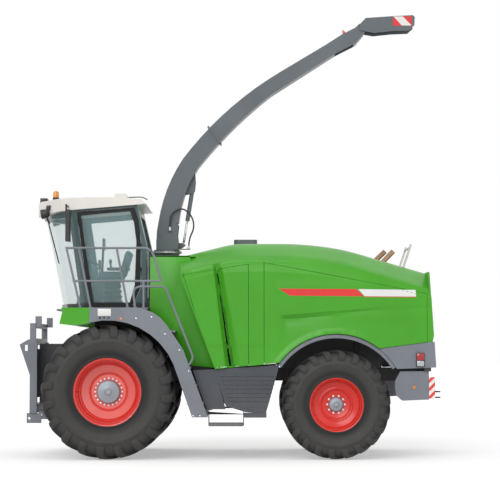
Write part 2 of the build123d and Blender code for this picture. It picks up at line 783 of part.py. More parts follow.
def hood_form(inset, floor_z):
    """Closed hood form with its front, top, rear and sides moved in by inset."""
    front = [(x - inset, z) for x, z in seam_c]
    tail = [(x + inset, z) for x, z in (tail_top, tail_low, tail_corner)]
    with BuildPart() as form:
        # Columns: distance from the centre plane, drop of the crown line
        for y, drop in (
            (hood_half_width - inset, inset + shoulder_drop),
            (hood_top_half - 0.5 * inset, inset),
            (-hood_top_half + 0.5 * inset, inset),
            (-hood_half_width + inset, inset + shoulder_drop),
        ):
            crown = [(x, z - drop) for x, z in hood_crown]
            with BuildSketch(at_y(y)):
                with BuildLine():
                    Polyline((crown[0][0], floor_z), *crown, (crown[-1][0], floor_z), close=True)
                make_face()
        loft(ruled=True)
        outline = [(front[0][0], floor_z), *front, (front[-1][0], hood_sky_z)]
        outline += [(tail[0][0], hood_sky_z), *tail, (tail[-1][0], floor_z)]
        slab(outline, -hood_half_width, hood_half_width, mode=Mode.INTERSECT)
    return form.part


arch_front_z = 1427
arch_rear_z = 1640
arch_front_x = rear_axle_x + sqrt(arch_radius**2 - (arch_front_z - rear_tyre_radius) ** 2)
arch_rear_x = rear_axle_x - sqrt(arch_radius**2 - (arch_rear_z - rear_tyre_radius) ** 2)
arch_top = (rear_axle_x, rear_tyre_radius + arch_radius)
with BuildPart() as under_hood:
    arch = bowed((arch_front_x, arch_front_z), arch_top, (arch_rear_x, arch_rear_z))
    slab(
        [(900, 1000), (900, 1320), seam_c[0], *arch, tail_corner, (-3300, 1745), (-3300, 1000)], -2000, 2000
    )

with BuildPart() as hood_shell:
    add(hood_form(0, 1200))
    add(hood_form(hood_wall, 1100), mode=Mode.SUBTRACT)
    add(under_hood.part, mode=Mode.SUBTRACT)

# Narrow cowl behind the cab, open towards the cab, with room for the mudguards and the stairs
fender_clear = fender_radius + sheet + 12
cowl_foot = on_circle(front_axle_x, front_tyre_radius, fender_clear, 158)
with BuildPart() as cowl:
    slab([(1240, 3045), (640, 3045), (230, 1340), (1240, 1340)], -cowl_half_width, cowl_half_width)
    slab(
        [(1300, 3020), (560, 3020), (150, 1200), (1300, 1200)],
        -cowl_half_width + hood_wall,
        cowl_half_width - hood_wall,
        mode=Mode.SUBTRACT,
    )
    drum(front_axle_x, front_tyre_radius, -2000, 2000, fender_clear, sides=2 * drum_sides, mode=Mode.SUBTRACT)
    slab([cowl_foot, (1300, 1500), (1300, 1300), (cowl_foot[0] - 60, 1300)], -2000, 2000, mode=Mode.SUBTRACT)
with BuildPart() as cowl_core:
    slab(
        [(1300, 3020), (560, 3020), (150, 1200), (1300, 1200)],
        -cowl_half_width + hood_wall,
        cowl_half_width - hood_wall,
    )

# Columns: corner of the opening panel; the gull-wing panel also ends on the wheel arch
side_door_outline = [
    (290, 1368), (seam_b_x + panel_gap, 1392), (seam_b_x + panel_gap, 2900), (735, 2740), (733, 2700), (548, 2183)
]
gull_top_front = (seam_a_x - panel_gap, 2925)
gull_top_rear = (-2900, 2460)


def gull_outline_face(y, gap):
    """Side outline of the gull-wing panel, grown by the gap towards the fixed hood."""
    with BuildSketch(at_y(y)) as outline:
        with BuildLine():
            Polyline(
                (gull_top_front[0] + gap, 1200),
                (gull_top_front[0] + gap, gull_top_front[1] + gap),
                (gull_top_rear[0] - gap, gull_top_rear[1] + gap),
                (gull_top_rear[0] - gap, 1200),
                (gull_top_front[0] + gap, 1200),
            )
        make_face()
    return outline.sketch


panel_depth_y = hood_half_width - hood_wall - 10
gull_axis = (Vector(gull_top_rear[0], 0, gull_top_rear[1]) - Vector(gull_top_front[0], 0, gull_top_front[1])).normalized()
gull_hinge_start = Vector(gull_top_front[0], hood_half_width, gull_top_front[1] + panel_gap / 2)
gull_hinge_shares = (0.15, 0.82)
gull_length = (Vector(*gull_top_rear) - Vector(*gull_top_front)).length


def gull_barrel(share, shift, length, radius, mode=Mode.ADD):
    """Hinge barrel on the gull-wing panel's axis, shifted along it, or the room for one."""
    start = gull_hinge_start + gull_axis * (gull_length * share + shift)
    with Locations(Plane(origin=tuple(start), x_dir=(0, 1, 0), z_dir=gull_axis)):
        if mode == Mode.SUBTRACT:
            Box(2 * radius, 2 * radius, length, align=(Align.CENTER, Align.CENTER, Align.MIN), mode=mode)
    if mode == Mode.ADD:
        bar(tuple(start), tuple(start + gull_axis * length), radius, sides=hinge_sides)


with BuildPart() as hood_top:
    add(hood_shell.part)
    block((-3300, seam_a_x), (-2000, 2000), (1000, 3600), mode=Mode.INTERSECT)
    extrude(gull_outline_face(1500, panel_gap), amount=1500 - panel_depth_y, mode=Mode.SUBTRACT)
    for share in gull_hinge_shares:
        gull_barrel(share, -3, hinge_length + 3, hinge_radius + 2, mode=Mode.SUBTRACT)
        gull_barrel(share, hinge_length, hinge_length, hinge_radius)
    split(bisect_by=Plane.XZ, keep=Keep.BOTTOM)
    mirror(about=Plane.XZ)

with BuildPart() as side_panel_left:
    add(hood_shell.part)
    extrude(gull_outline_face(1500, 0), amount=1500 - panel_depth_y, mode=Mode.INTERSECT)
    add(under_hood.part.moved(Location((0, 0, panel_gap))), mode=Mode.SUBTRACT)
    for share in gull_hinge_shares:
        gull_barrel(share, hinge_length - seat_gap, hinge_length + 3, hinge_radius + 2, mode=Mode.SUBTRACT)
        gull_barrel(share, 0, hinge_length - seat_gap, hinge_radius)
side_panel_right = mirrored(side_panel_left.part)

side_hinge_x = seam_b_x + panel_gap / 2
side_hinge_zs = (1650, 2600)
with BuildPart() as hood_front:
    add(hood_shell.part)
    block((seam_b_x, 1000), (-2000, 2000), (1000, 3600), mode=Mode.INTERSECT)
    add(cowl_core.part, mode=Mode.SUBTRACT)
    add(cowl.part)
    slab(grown(side_door_outline, panel_gap), panel_depth_y, 1500, mode=Mode.SUBTRACT)
    slab(grown(side_door_outline, panel_gap), -1500, -panel_depth_y, mode=Mode.SUBTRACT)
    block(
        (turntable_back_x, turntable_front_x), (-duct_half_width, duct_half_width), (2900, 3200), mode=Mode.SUBTRACT
    )

with BuildPart() as side_door_left:
    add(hood_shell.part)
    slab(side_door_outline, panel_depth_y, 1500, mode=Mode.INTERSECT)
    for z in side_hinge_zs:
        upright_barrel(
            side_hinge_x, hood_half_width, z - 3, hinge_radius + 2, hinge_length + 3 + seat_gap, mode=Mode.SUBTRACT
        )
        upright_barrel(side_hinge_x, hood_half_width, z + hinge_length + seat_gap, hinge_radius, hinge_length)
side_door_right = mirrored(side_door_left.part)

with BuildPart() as hood_band:
    add(hood_shell.part)
    block((seam_a_x, seam_b_x), (-2000, 2000), (1000, 3600), mode=Mode.INTERSECT)
    for side in (1, -1):
        for z in side_hinge_zs:
            y = side * hood_half_width
            upright_barrel(
                side_hinge_x, y, z + hinge_length, hinge_radius + 2, hinge_length + 6, mode=Mode.SUBTRACT
            )
            upright_barrel(side_hinge_x, y, z, hinge_radius, hinge_length)

with BuildPart() as intake_box:
    block((-377, -19), (-500, 500), (hood_top_z, hood_top_z + 75))
    chamfer(intake_box.edges().filter_by(Axis.Z), 40)

# Grey tail panel under the rear hood, round the wheel arch's rear
tail_panel_side = 1440
arch_low_rear = on_circle(rear_axle_x, rear_tyre_radius, arch_radius, 149.5)
arch_mid_rear = on_circle(rear_axle_x, rear_tyre_radius, arch_radius, 138)
with BuildPart() as tail_panel:
    slab(
        [
            tail_corner, (-3012, 1745), (-3035, 1363),
            *bowed(arch_low_rear, arch_mid_rear, (arch_rear_x, arch_rear_z), 3),
        ],
        -tail_panel_side,
        tail_panel_side,
    )
    slab(
        [(-1900, 1200), (-1900, 1900), (-2930, 1900), (-2930, 1730), (-2988, 1720), (-3010, 1200)],
        -tail_panel_side + 20,
        tail_panel_side - 20,
        mode=Mode.SUBTRACT,
    )

tyre_sweep_radius = 1003
with BuildPart() as rear_boxes:
    box_outline = [(-2503, tail_beam_z), (-2929, tail_beam_z), (-2929, 886), (-2541, 870), (-2437, 950), (-2414, 1143)]
    for y_low, y_high in both_sides(1130, 1390):
        slab(box_outline, y_low, y_high)
    for y in (kingpin_y, -kingpin_y):
        bar((rear_axle_x, y, 800), (rear_axle_x, y, 1400), tyre_sweep_radius, sides=36, mode=Mode.SUBTRACT)

with BuildPart() as tail_lamps:
    for ys in both_sides(tail_panel_side, tail_panel_side + 45):
        block((-2855, -2737), ys, (1375, 1578))

with BuildPart() as marker_boards:
    for ys in both_sides(1130, 1400):
        block((-2941, -2929), ys, (902, 1221))
    for ys in both_sides(1388, 1400):
        block((-3019, -2940), ys, (902, 1221))

# Sheet liners over the rear wheels
liner_rear = on_circle(rear_axle_x, rear_tyre_radius, arch_radius, 128)
liner_front = on_circle(rear_axle_x, rear_tyre_radius, arch_radius, 38)
liner_out_rear = on_circle(rear_axle_x, rear_tyre_radius, arch_radius + 6, 128)
liner_out_front = on_circle(rear_axle_x, rear_tyre_radius, arch_radius + 6, 38)
liner_out_top = (rear_axle_x, rear_tyre_radius + arch_radius + 6)
liner_outer_y = hood_half_width - hood_wall - 15
liner = bowed(liner_front, arch_top, liner_rear) + bowed(liner_out_rear, liner_out_top, liner_out_front)
with BuildPart() as arch_liners:
    for y_low, y_high in both_sides(liner_inner_y, liner_outer_y):
        slab(liner, y_low, y_high)
    for ys in both_sides(liner_inner_y - 40, liner_inner_y + 1):
        block((rear_axle_x - 400, rear_axle_x - 340), ys, (rail_top, 1790))

# Louvred skirts between the stairs and the rear wheel, each with its bottom rail
skirt_outline = [(253, 1336), (-703, 1400), (-560, 880), (-503, 682), (-205, 700), (94, 790)]
front_skirt_outline = [(585, 1322), (375, 744), (96, 744), (250, 1336)]
louvre_pitch = 62
with BuildPart() as side_skirts:
    for y_high in (skirt_y, -skirt_y + sheet):
        slab(skirt_outline, y_high - sheet, y_high)
        slab(front_skirt_outline, y_high - sheet, y_high)
    for low, high in both_sides(skirt_y - 1, skirt_y + 14):
        for i in range(7):
            z = 860 + louvre_pitch * i
            block((-560 - 0.28 * (z - 860), 60 + 0.29 * (z - 860)), (low, high), (z, z + 14))
        block((-512, -178), (low - 90, high), (622, 690))
        block((357, 560), (low - 90, high), (640, 750))

# Exhaust tails and the spout's rest, standing on the sloping rear hood
with BuildPart() as hood_solid:
    add(hood_form(0, 1200))
with BuildPart() as exhausts:
    for y, x_low, z_low, x_high, z_high in ((200, -2190, 2985, -2376, 3160), (420, -2300, 2960, -2485, 3150)):
        bar((x_low, y, z_low), (x_high, y, z_high), 38)
        bar((x_low, y, z_low), (x_high - 20, y, z_high + 19), 32, mode=Mode.SUBTRACT)
    add(hood_solid.part, mode=Mode.SUBTRACT)
with BuildPart() as spout_rest:
    for side in (1, -1):
        bar((-2625, side * 420, 2850), (-2760, side * 420, 3256), 17)
    bar((-2742, -412, 3205), (-2742, 412, 3205), 15)
    add(hood_solid.part, mode=Mode.SUBTRACT)

# Spout turntable: a ring with walls and two cheeks that carry the spout's hinge
ring_z = turntable_z + seat_gap
cheek_outer_y = cheek_inner_y + cheek_thickness
cheek_outline = [
    (1200, ring_z + 20),
    (1190, 3470),
    (1165, 3620),
    (852, 3590),
    (868, 3420),
    (850, 3240),
    (870, ring_z + 20),
]
hose_radius = 12
hose_y = cheek_outer_y + 14 + hose_radius
hose_plate = 14
hose_route = [
    (690, 3200), (690, 3350), (598, 3530), (640, 3720), (790, 3850), (960, 3760), (985, 3600), (985, 3490)
]
# Columns: rear end, front end, height of the plate a hose end stands on
hose_plates = [(664, 885, hose_route[0][1]), (955, 1015, hose_route[-1][1])]
lift_pin_base = (780, 3265)
lift_pin_top = (640, 4140)
lift_pin_radius = 16
lift_eye_radius = 40
lift_barrel_end = 500
lift_rod_length = 480
with BuildPart() as spout_base:
    with BuildSketch(Plane.XY.offset(ring_z)):
        with Locations((turntable_x, 0)):
            RegularPolygon(turntable_radius - 8, 2 * drum_sides)
            RegularPolygon(turntable_throat, drum_sides, mode=Mode.SUBTRACT)
    extrude(amount=24)
    for y_low, y_high in both_sides(cheek_inner_y, cheek_outer_y):
        slab(cheek_outline, y_low, y_high)
        drum(spout_pivot_x, spout_pivot_z, y_low, y_high, spout_pin_radius, mode=Mode.SUBTRACT)
    block((1186, 1200), (-cheek_inner_y - 1, cheek_inner_y + 1), (ring_z + 20, 3350))
    block((852, 866), (-cheek_inner_y - 1, cheek_inner_y + 1), (ring_z + 20, 3316))
    for y_low, y_high in both_sides(36, 52):
        slab([(853, 3205), (853, 3300), (780, 3300), (745, 3265), (780, 3230)], y_low, y_high)
    for y_low, y_high in both_sides(38, 64):
        drum(lift_pin_base[0], lift_pin_base[1], y_low, y_high, lift_pin_radius, sides=12)
    for x_low, x_high, z in hose_plates:
        block((x_low, x_high), (cheek_inner_y, hose_y + hose_radius + 4), (z - hose_plate, z))

# Spout: a duct between an outer and an inner curve, open where it ends under the flap
spout_low_front = (1184, 3448)
spout_low_rear = (850, 3618)
spout_flange = [(403, 5124), (196, 4852), (177, 4867), (384, 5139)]
spout_outer = bowed(spout_low_front, (1092, 3960), (787, 4615), 7)[:-1]
spout_outer += bowed((787, 4615), (95, 5372), (-727, 5982), 9)
spout_outer += [(-1464, 6425), (-1719, 6590), (-1925, 6694), (-1985, 6752), (-2066, 6768), (-2112, 6700)]
spout_under = [(-2060, 6600), (-1935, 6450), (-1612, 6284)]
spout_under += bowed((-591, 5625), (35, 5064), (545, 4484), 9)[:-1] + bowed((545, 4484), (752, 4060), spout_low_rear, 7)
hollow_outer = [(1172, 3400)] + bowed((1172, 3448), (1082, 3960), (779, 4609), 7)[:-1]
hollow_outer += bowed((779, 4609), (88, 5365), (-732, 5973), 9)
hollow_outer += [(-1469, 6416), (-1723, 6581), (-1900, 6668), (-1900, 6350), (-1600, 6200), (-1606, 6292)]
hollow_under = bowed((-585, 5633), (42, 5071), (553, 4490), 9)[:-1] + bowed((553, 4490), (762, 4062), (861, 3560), 7)
spout_seam = [(470, 5210), (130, 4760)]
with BuildPart() as spout_duct:
    slab(spout_outer + spout_under, -spout_half_width, spout_half_width)
    slab(spout_flange, -spout_half_width - 22, spout_half_width + 22)
    slab(
        hollow_outer + hollow_under, -spout_half_width + spout_wall, spout_half_width - spout_wall, mode=Mode.SUBTRACT
    )
with BuildPart() as lower_space:
    slab([*spout_seam, (130, 3000), (2000, 3000), (2000, 5210)], -500, 500)
with BuildPart() as spout_arm:
    add(spout_duct.part)
    add(lower_space.part, mode=Mode.SUBTRACT)
with BuildPart() as spout:
    add(spout_duct.part)
    add(lower_space.part, mode=Mode.INTERSECT)
    drum(spout_pivot_x, spout_pivot_z, -spout_half_width, spout_half_width, 38)
    foot = [(1030, 3535), (1180, 3470), (1196, 3425), (1150, 3374), (1104, 3400)]
    for y_low, y_high in both_sides(spout_half_width - 16, spout_half_width):
        slab(foot, y_low, y_high)
    for y_low, y_high in both_sides(spout_half_width - 1, cheek_outer_y + 14):
        cross_rod(spout_pivot_x, spout_pivot_z, y_low, y_high, spout_pin_radius - running_fit)
    # Bracket under the duct that holds the lift cylinder's head
    bracket = [(750, 4060), (640, 4085), (600, 4115), (585, 4250), (596, 4400), (720, 4160)]
    for y_low, y_high in both_sides(42, 56):
        slab(bracket, y_low, y_high)
    cross_rod(lift_pin_top[0], lift_pin_top[1], -56, 56, lift_pin_radius)

# Flap: an open channel over the spout's end, with a marker plate each side
flap_inner_y = spout_half_width + 8
flap_outline = [
    (flap_pivot_x + 40, 6650),
    (flap_pivot_x + 45, 6745),
    (-2090, 6845),
    (-2489, 6872),
    (-2831, 6890),
    (-2863, 6859),
    (-2855, 6727),
    (-2770, 6650),
    (-2516, 6641),
    (-2224, 6610),
]
with BuildPart() as spout_flap:
    slab(flap_outline, -flap_inner_y - sheet, flap_inner_y + sheet)
    slab(
        [(-1900, 6500), (-1900, 6760), (-2060, 6790), (-2100, 6832), (-2489, 6859), (-2900, 6880), (-2900, 6500)],
        -flap_inner_y,
        flap_inner_y,
        mode=Mode.SUBTRACT,
    )
    for y_low, y_high in both_sides(spout_half_width + seat_gap, flap_inner_y + 1):
        cross_rod(flap_pivot_x, flap_pivot_z, y_low, y_high, 34)

# Lift cylinder between the base's pin and the spout's bracket
lift_axis = (Vector(lift_pin_base[0], 0, lift_pin_base[1]) - Vector(lift_pin_top[0], 0, lift_pin_top[1])).normalized()
lift_top = Vector(lift_pin_top[0], 0, lift_pin_top[1])
lift_base = Vector(lift_pin_base[0], 0, lift_pin_base[1])
barrel_sides = 12


def lift_point(distance):
    """Point on the cylinder's axis at a distance from its top pin."""
    return tuple(lift_top + lift_axis * distance)


with BuildPart() as lift_barrel:
    bar(lift_point(20), lift_point(lift_barrel_end), lift_barrel_radius, sides=barrel_sides)
    drum(lift_pin_top[0], lift_pin_top[1], -36, 36, lift_eye_radius)
    drum(lift_pin_top[0], lift_pin_top[1], -60, 60, lift_pin_radius + running_fit, sides=12, mode=Mode.SUBTRACT)
    bar(
        lift_point(55), lift_point(lift_barrel_end + 10), lift_rod_radius + running_fit, sides=barrel_sides,
        mode=Mode.SUBTRACT,
    )
lift_length = (lift_base - lift_top).length
with BuildPart() as lift_rod:
    bar(lift_point(lift_length - lift_rod_length), lift_point(lift_length), lift_rod_radius, sides=barrel_sides)
    drum(lift_pin_base[0], lift_pin_base[1], -30, 30, lift_eye_radius)
    drum(lift_pin_base[0], lift_pin_base[1], -60, 60, lift_pin_radius, sides=12, mode=Mode.SUBTRACT)

# Hose looped beside the spout's foot, from plate to plate
def cord_radii(points):
    """Bend radius at each inner point of a route, as large as its two runs allow."""
    radii = []
    for before, here, after in zip(points, points[1:], points[2:]):
        first = Vector(*here) - Vector(*before)
        second = Vector(*after) - Vector(*here)
        turn = radians(first.get_angle(second))
        radii.append(0.45 * min(first.length, second.length) / tan(turn / 2))
    return radii


hose_points = [(x, hose_y, z) for x, z in hose_route]
with BuildPart() as hose_loop:
    with BuildLine() as hose_path:
        FilletPolyline(*hose_points, radius=cord_radii(hose_points))
    with BuildSketch(Plane(origin=hose_path.line @ 0, x_dir=(0, 1, 0), z_dir=hose_path.line % 0)):
        RegularPolygon(hose_radius, 6)
    sweep(path=hose_path.line)
print("hose radii", [round(radius) for radius in cord_radii(hose_points)])


def at_wheel(part, x, y, radius, side):
    """Wheel piece moved to its axle end, its outer face turned to that side."""
    piece = part if side > 0 else part.rotate(Axis.Z, 180)
    return piece.moved(Location((x, side * y, radius)))


pieces = {
    "tyre_front_left": at_wheel(front_tyre, front_axle_x, front_wheel_y, front_tyre_radius, 1),
    "tyre_front_right": mirrored(at_wheel(front_tyre, front_axle_x, front_wheel_y, front_tyre_radius, 1)),
    "tyre_rear_left": at_wheel(rear_tyre, rear_axle_x, rear_wheel_y, rear_tyre_radius, 1),
    "tyre_rear_right": mirrored(at_wheel(rear_tyre, rear_axle_x, rear_wheel_y, rear_tyre_radius, 1)),
    "rim_front_left": at_wheel(front_rim, front_axle_x, front_wheel_y, front_tyre_radius, 1),
    "rim_front_right": at_wheel(front_rim, front_axle_x, front_wheel_y, front_tyre_radius, -1),
    "rim_rear_left": at_wheel(rear_rim, rear_axle_x, rear_wheel_y, rear_tyre_radius, 1),
    "rim_rear_right": at_wheel(rear_rim, rear_axle_x, rear_wheel_y, rear_tyre_radius, -1),
    "front_axle": front_axle.part,
    "rear_axle": rear_axle.part,
    "steering_rod": steering_rod.part,
    "knuckle_left": knuckle_left.part,
    "knuckle_right": knuckle_right,
    "chassis_rails": chassis_rails.part,
    "chassis_brackets": chassis_brackets.part,
    "tail_frame": tail_frame.part,
    "engine_block": engine_block.part,
    "chopper_housing": chopper_housing.part,
    "crop_duct": crop_duct.part,
    "intake_housing": intake_housing.part,
    "feed_rolls": feed_rolls.part,
    "header_frame": header_frame.part,
    "platform": platform.part,
    "lamp_housings": lamp_housings.part,
    "mudguards": mudguards.part,
    "stairs": stairs.part,
    "handrails": handrails.part,
    "cab_frame": cab_frame.part,
    "cab_roof": cab_roof.part,
    "cab_glass": cab_glass.part,
    "cab_door": cab_door.part,
    "cab_door_glass": cab_door_glass.part,
    "mirrors": mirrors.part,
    "roof_lamps": roof_lamps.part,
    "seat": seat.part,
    "console": console.part,
    "hood_front": hood_front.part,
    "hood_band": hood_band.part,
    "hood_top": hood_top.part,
    "intake_box": intake_box.part,
    "side_panel_left": side_panel_left.part,
    "side_panel_right": side_panel_right,
    "side_door_left": side_door_left.part,
    "side_door_right": side_door_right,
    "tail_panel": tail_panel.part,
    "rear_boxes": rear_boxes.part,
    "tail_lamps": tail_lamps.part,
    "marker_boards": marker_boards.part,
    "arch_liners": arch_liners.part,
    "side_skirts": side_skirts.part,
    "exhausts": exhausts.part,
    "spout_rest": spout_rest.part,
    "spout_base": spout_base.part,
    "spout": spout.part,
    "spout_arm": spout_arm.part,
    "spout_flap": spout_flap.part,
    "lift_barrel": lift_barrel.part,
    "lift_rod": lift_rod.part,
    "hose_loop": hose_loop.part,
}
for name, piece in pieces.items():
    piece.label = name
    export_step(piece, f"parts/{name}.step")
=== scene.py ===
from math import cos, exp, pi, radians, sin, sqrt

import bpy
from mathutils import Matrix, Vector


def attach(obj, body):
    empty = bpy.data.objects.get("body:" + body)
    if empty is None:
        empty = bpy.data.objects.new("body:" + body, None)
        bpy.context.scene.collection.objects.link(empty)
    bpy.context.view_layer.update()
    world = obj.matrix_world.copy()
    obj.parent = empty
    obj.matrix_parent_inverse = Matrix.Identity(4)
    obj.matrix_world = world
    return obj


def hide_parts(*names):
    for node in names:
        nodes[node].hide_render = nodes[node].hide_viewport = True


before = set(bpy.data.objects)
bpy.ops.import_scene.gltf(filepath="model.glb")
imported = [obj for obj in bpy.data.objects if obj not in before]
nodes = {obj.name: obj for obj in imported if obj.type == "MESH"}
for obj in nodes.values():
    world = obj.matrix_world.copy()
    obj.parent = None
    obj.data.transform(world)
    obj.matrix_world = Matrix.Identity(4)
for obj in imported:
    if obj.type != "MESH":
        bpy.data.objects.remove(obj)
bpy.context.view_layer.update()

# Every size below is in millimetres: X points forward, Y to the machine's left and Z up.
# Places that several pieces share:
front_axle_x = 1842
front_tyre_radius = 1000
rear_axle_x = -1550
rear_tyre_radius = 812
hood_half_width = 1450
origin = (0, 0, 0)
sideways = (0, 1, 0)
upright = (0, 0, 1)

# Camera, opposite the machine's left side and a little lower than its middle
bpy.ops.object.camera_add(location=(-0.267, 27.588, 1.623), rotation=(radians(93.2575), 0, pi))
camera = bpy.context.active_object
camera.name = "side_camera"
camera.data.lens = 126.5
camera.data.sensor_width = 36
camera.data.clip_end = 200
bpy.context.scene.camera = camera


# Modelling helpers

def deselect():
    if bpy.context.mode != "OBJECT":
        bpy.ops.object.mode_set(mode="OBJECT")
    bpy.ops.object.select_all(action="DESELECT")


def choose(piece):
    deselect()
    piece.select_set(True)
    bpy.context.view_layer.objects.active = piece


def edit_all(piece):
    choose(piece)
    bpy.ops.object.mode_set(mode="EDIT")
    bpy.ops.mesh.select_all(action="SELECT")


def tidy_mesh(piece):
    """Merges doubled points and turns every face outwards."""
    edit_all(piece)
    bpy.ops.mesh.remove_doubles(threshold=0.02 / 1000)
    bpy.ops.mesh.dissolve_degenerate(threshold=1e-6)
    bpy.ops.mesh.select_all(action="SELECT")
    bpy.ops.mesh.normals_make_consistent(inside=False)
    bpy.ops.object.mode_set(mode="OBJECT")
    return piece


def flatten_place(piece):
    choose(piece)
    bpy.ops.object.transform_apply(location=True, rotation=True, scale=True)
    return piece


def modify(piece, kind, **settings):
    """Adds one modifier with its settings and applies it."""
    choose(piece)
    bpy.ops.object.modifier_add(type=kind)
    modifier = piece.modifiers[-1]
    for key, value in settings.items():
        setattr(modifier, key, value)
    bpy.ops.object.modifier_apply(modifier=modifier.name)
    return piece


def rounded(piece, width=3, segments=2, angle=35):
    return modify(
        piece, "BEVEL", width=width / 1000, segments=segments, limit_method="ANGLE",
        angle_limit=radians(angle)
    )


def corner_loop(points, filled=True):
    """Circle primitive with its corners moved to the given points."""
    deselect()
    bpy.ops.mesh.primitive_circle_add(vertices=len(points), fill_type="NGON" if filled else "NOTHING")
    piece = bpy.context.active_object
    for corner, point in zip(piece.data.vertices, points):
        corner.co = Vector(point) / 1000
    return piece


def prism(points, shift, bevel):
    """Closed outline pushed along a shift, with its edges rounded."""
    piece = corner_loop(points)
    edit_all(piece)
    bpy.ops.mesh.extrude_region_move(TRANSFORM_OT_translate={"value": Vector(shift) / 1000})
    tidy_mesh(piece)
    return rounded(piece, bevel) if bevel else piece


def side_plate(outline, y_low, y_high, bevel=2):
    return prism([(x, y_low, z) for x, z in outline], (0, y_high - y_low, 0), bevel)


def flat_plate(outline, z_low, z_high, bevel):
    return prism([(x, y, z_low) for x, y in outline], (0, 0, z_high - z_low), bevel)


def brick(xs, ys, zs, bevel=2, segments=2):
    """Cube primitive at its size and place, its edges rounded."""
    deselect()
    middle = [sum(pair) / 2000 for pair in (xs, ys, zs)]
    size = [(pair[1] - pair[0]) / 1000 for pair in (xs, ys, zs)]
    bpy.ops.mesh.primitive_cube_add(size=1, location=middle)
    bpy.context.active_object.scale = size
    piece = flatten_place(bpy.context.active_object)
    return rounded(piece, bevel, segments) if bevel else piece


def rod(start, end, radius, sides=20, bevel=0):
    """Cylinder primitive between two points."""
    deselect()
    start, end = Vector(start) / 1000, Vector(end) / 1000
    bpy.ops.mesh.primitive_cylinder_add(
        vertices=sides, radius=radius / 1000, depth=(end - start).length, location=(start + end) / 2,
        rotation=(end - start).to_track_quat("Z", "Y").to_euler(),
    )
    piece = flatten_place(bpy.context.active_object)
    return rounded(piece, bevel) if bevel else piece


def turned(profile, centre, axis=sideways, steps=64):
    """Closed loop of (distance along the axis, radius) spun about an axis through the centre."""
    axis = Vector(axis).normalized()
    out = axis.orthogonal().normalized()
    piece = corner_loop(
        [Vector(centre) + axis * along + out * radius for along, radius in profile], filled=False
    )
    edit_all(piece)
    bpy.ops.mesh.spin(steps=steps, angle=2 * pi, center=Vector(centre) / 1000, axis=axis)
    return tidy_mesh(piece)


def round_the(piece, centre, axis, count):
    """The piece repeated in a circle about an axis."""
    edit_all(piece)
    share = 2 * pi * (count - 1) / count
    bpy.ops.mesh.spin(steps=count - 1, dupli=True, angle=share, center=Vector(centre) / 1000, axis=axis)
    bpy.ops.object.mode_set(mode="OBJECT")
    return piece


def in_rows(piece, offset, count):
    return modify(
        piece, "ARRAY", count=count, use_relative_offset=False, use_constant_offset=True,
        constant_offset_displace=Vector(offset) / 1000,
    )


def pick(piece, kind, test):
    """Selects the points, edges or faces that pass a test and stays in edit mode."""
    choose(piece)
    bpy.ops.object.mode_set(mode="EDIT")
    bpy.ops.mesh.select_mode(type=kind)
    bpy.ops.mesh.select_all(action="DESELECT")
    bpy.ops.object.mode_set(mode="OBJECT")
    mesh = piece.data
    for part in {"VERT": mesh.vertices, "EDGE": mesh.edges, "FACE": mesh.polygons}[kind]:
        part.select = test(part)
    bpy.ops.object.mode_set(mode="EDIT")


def pipe(points, radius, bend=60):
    """Round tube along straight runs with round bends."""
    piece = corner_loop(points, filled=False)
    last = len(points) - 1
    pick(piece, "EDGE", lambda edge: set(edge.vertices) == {0, last})
    bpy.ops.mesh.delete(type="EDGE")
    tips = [Vector(points[i]) / 1000 for i in (0, last)]
    pick(piece, "VERT", lambda corner: all((corner.co - tip).length >= 1e-5 for tip in tips))
    bpy.ops.mesh.bevel(offset=bend / 1000, segments=5, affect="VERTICES")
    choose(piece)
    bpy.ops.object.convert(target="CURVE")
    line = bpy.context.active_object
    line.data.bevel_depth = radius / 1000
    line.data.bevel_resolution = 4
    line.data.use_fill_caps = True
    bpy.ops.object.convert(target="MESH")
    return tidy_mesh(bpy.context.active_object)


def joined(*pieces):
    choose(pieces[0])
    for piece in pieces:
        piece.select_set(True)
    bpy.context.view_layer.objects.active = pieces[0]
    bpy.ops.object.join()
    return bpy.context.active_object


def copied(piece, matrix=None):
    """Copy with its own mesh, moved by a matrix."""
    twin = piece.copy()
    twin.data = piece.data.copy()
    bpy.context.collection.objects.link(twin)
    if matrix is not None:
        twin.data.transform(matrix)
        if matrix.determinant() < 0:
            twin.data.flip_normals()
    return twin


across = Matrix.Scale(-1, 4, (0, 1, 0))


def two_sides(piece):
    """The piece and its mirror image as one."""
    return joined(piece, copied(piece, across))


def cut(piece, point, normal):
    """Cuts the piece on a plane and clears what lies on its normal's side."""
    edit_all(piece)
    bpy.ops.mesh.bisect(plane_co=Vector(point) / 1000, plane_no=normal, clear_outer=True)
    bpy.ops.object.mode_set(mode="OBJECT")
    return piece


def carve(piece, tool):
    modify(piece, "BOOLEAN", object=tool, operation="DIFFERENCE", solver="EXACT")
    bpy.data.objects.remove(tool)
    return piece


def place(piece, name, material, body="chassis", stands_for=(), smooth=35):
    """Names the finished piece, sets its finish and lets it ride on its body."""
    flatten_place(piece)
    piece.name = name
    piece.data.materials.clear()
    piece.data.materials.append(material)
    choose(piece)
    bpy.ops.object.shade_smooth_by_angle(angle=radians(smooth))
    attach(piece, body)
    if stands_for:
        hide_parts(*stands_for)
    return piece


def place_pair(piece, name, material, body, replacing=False, smooth=35):
    """The piece and its mirror image, each on the body of its own side and, if asked, in its node's place."""
    for twin, hand in ((copied(piece, across), "right"), (piece, "left")):
        shown = [f"{body}_{hand}"] if replacing else ()
        place(twin, f"{hand}_{name}", material, f"{body}_{hand}", shown, smooth)


def smooth_share(low, high, value):
    """Share from 0 at low to 1 at high, with soft ends."""
    t = min(1, max(0, (value - low) / (high - low)))
    return t * t * (3 - 2 * t)


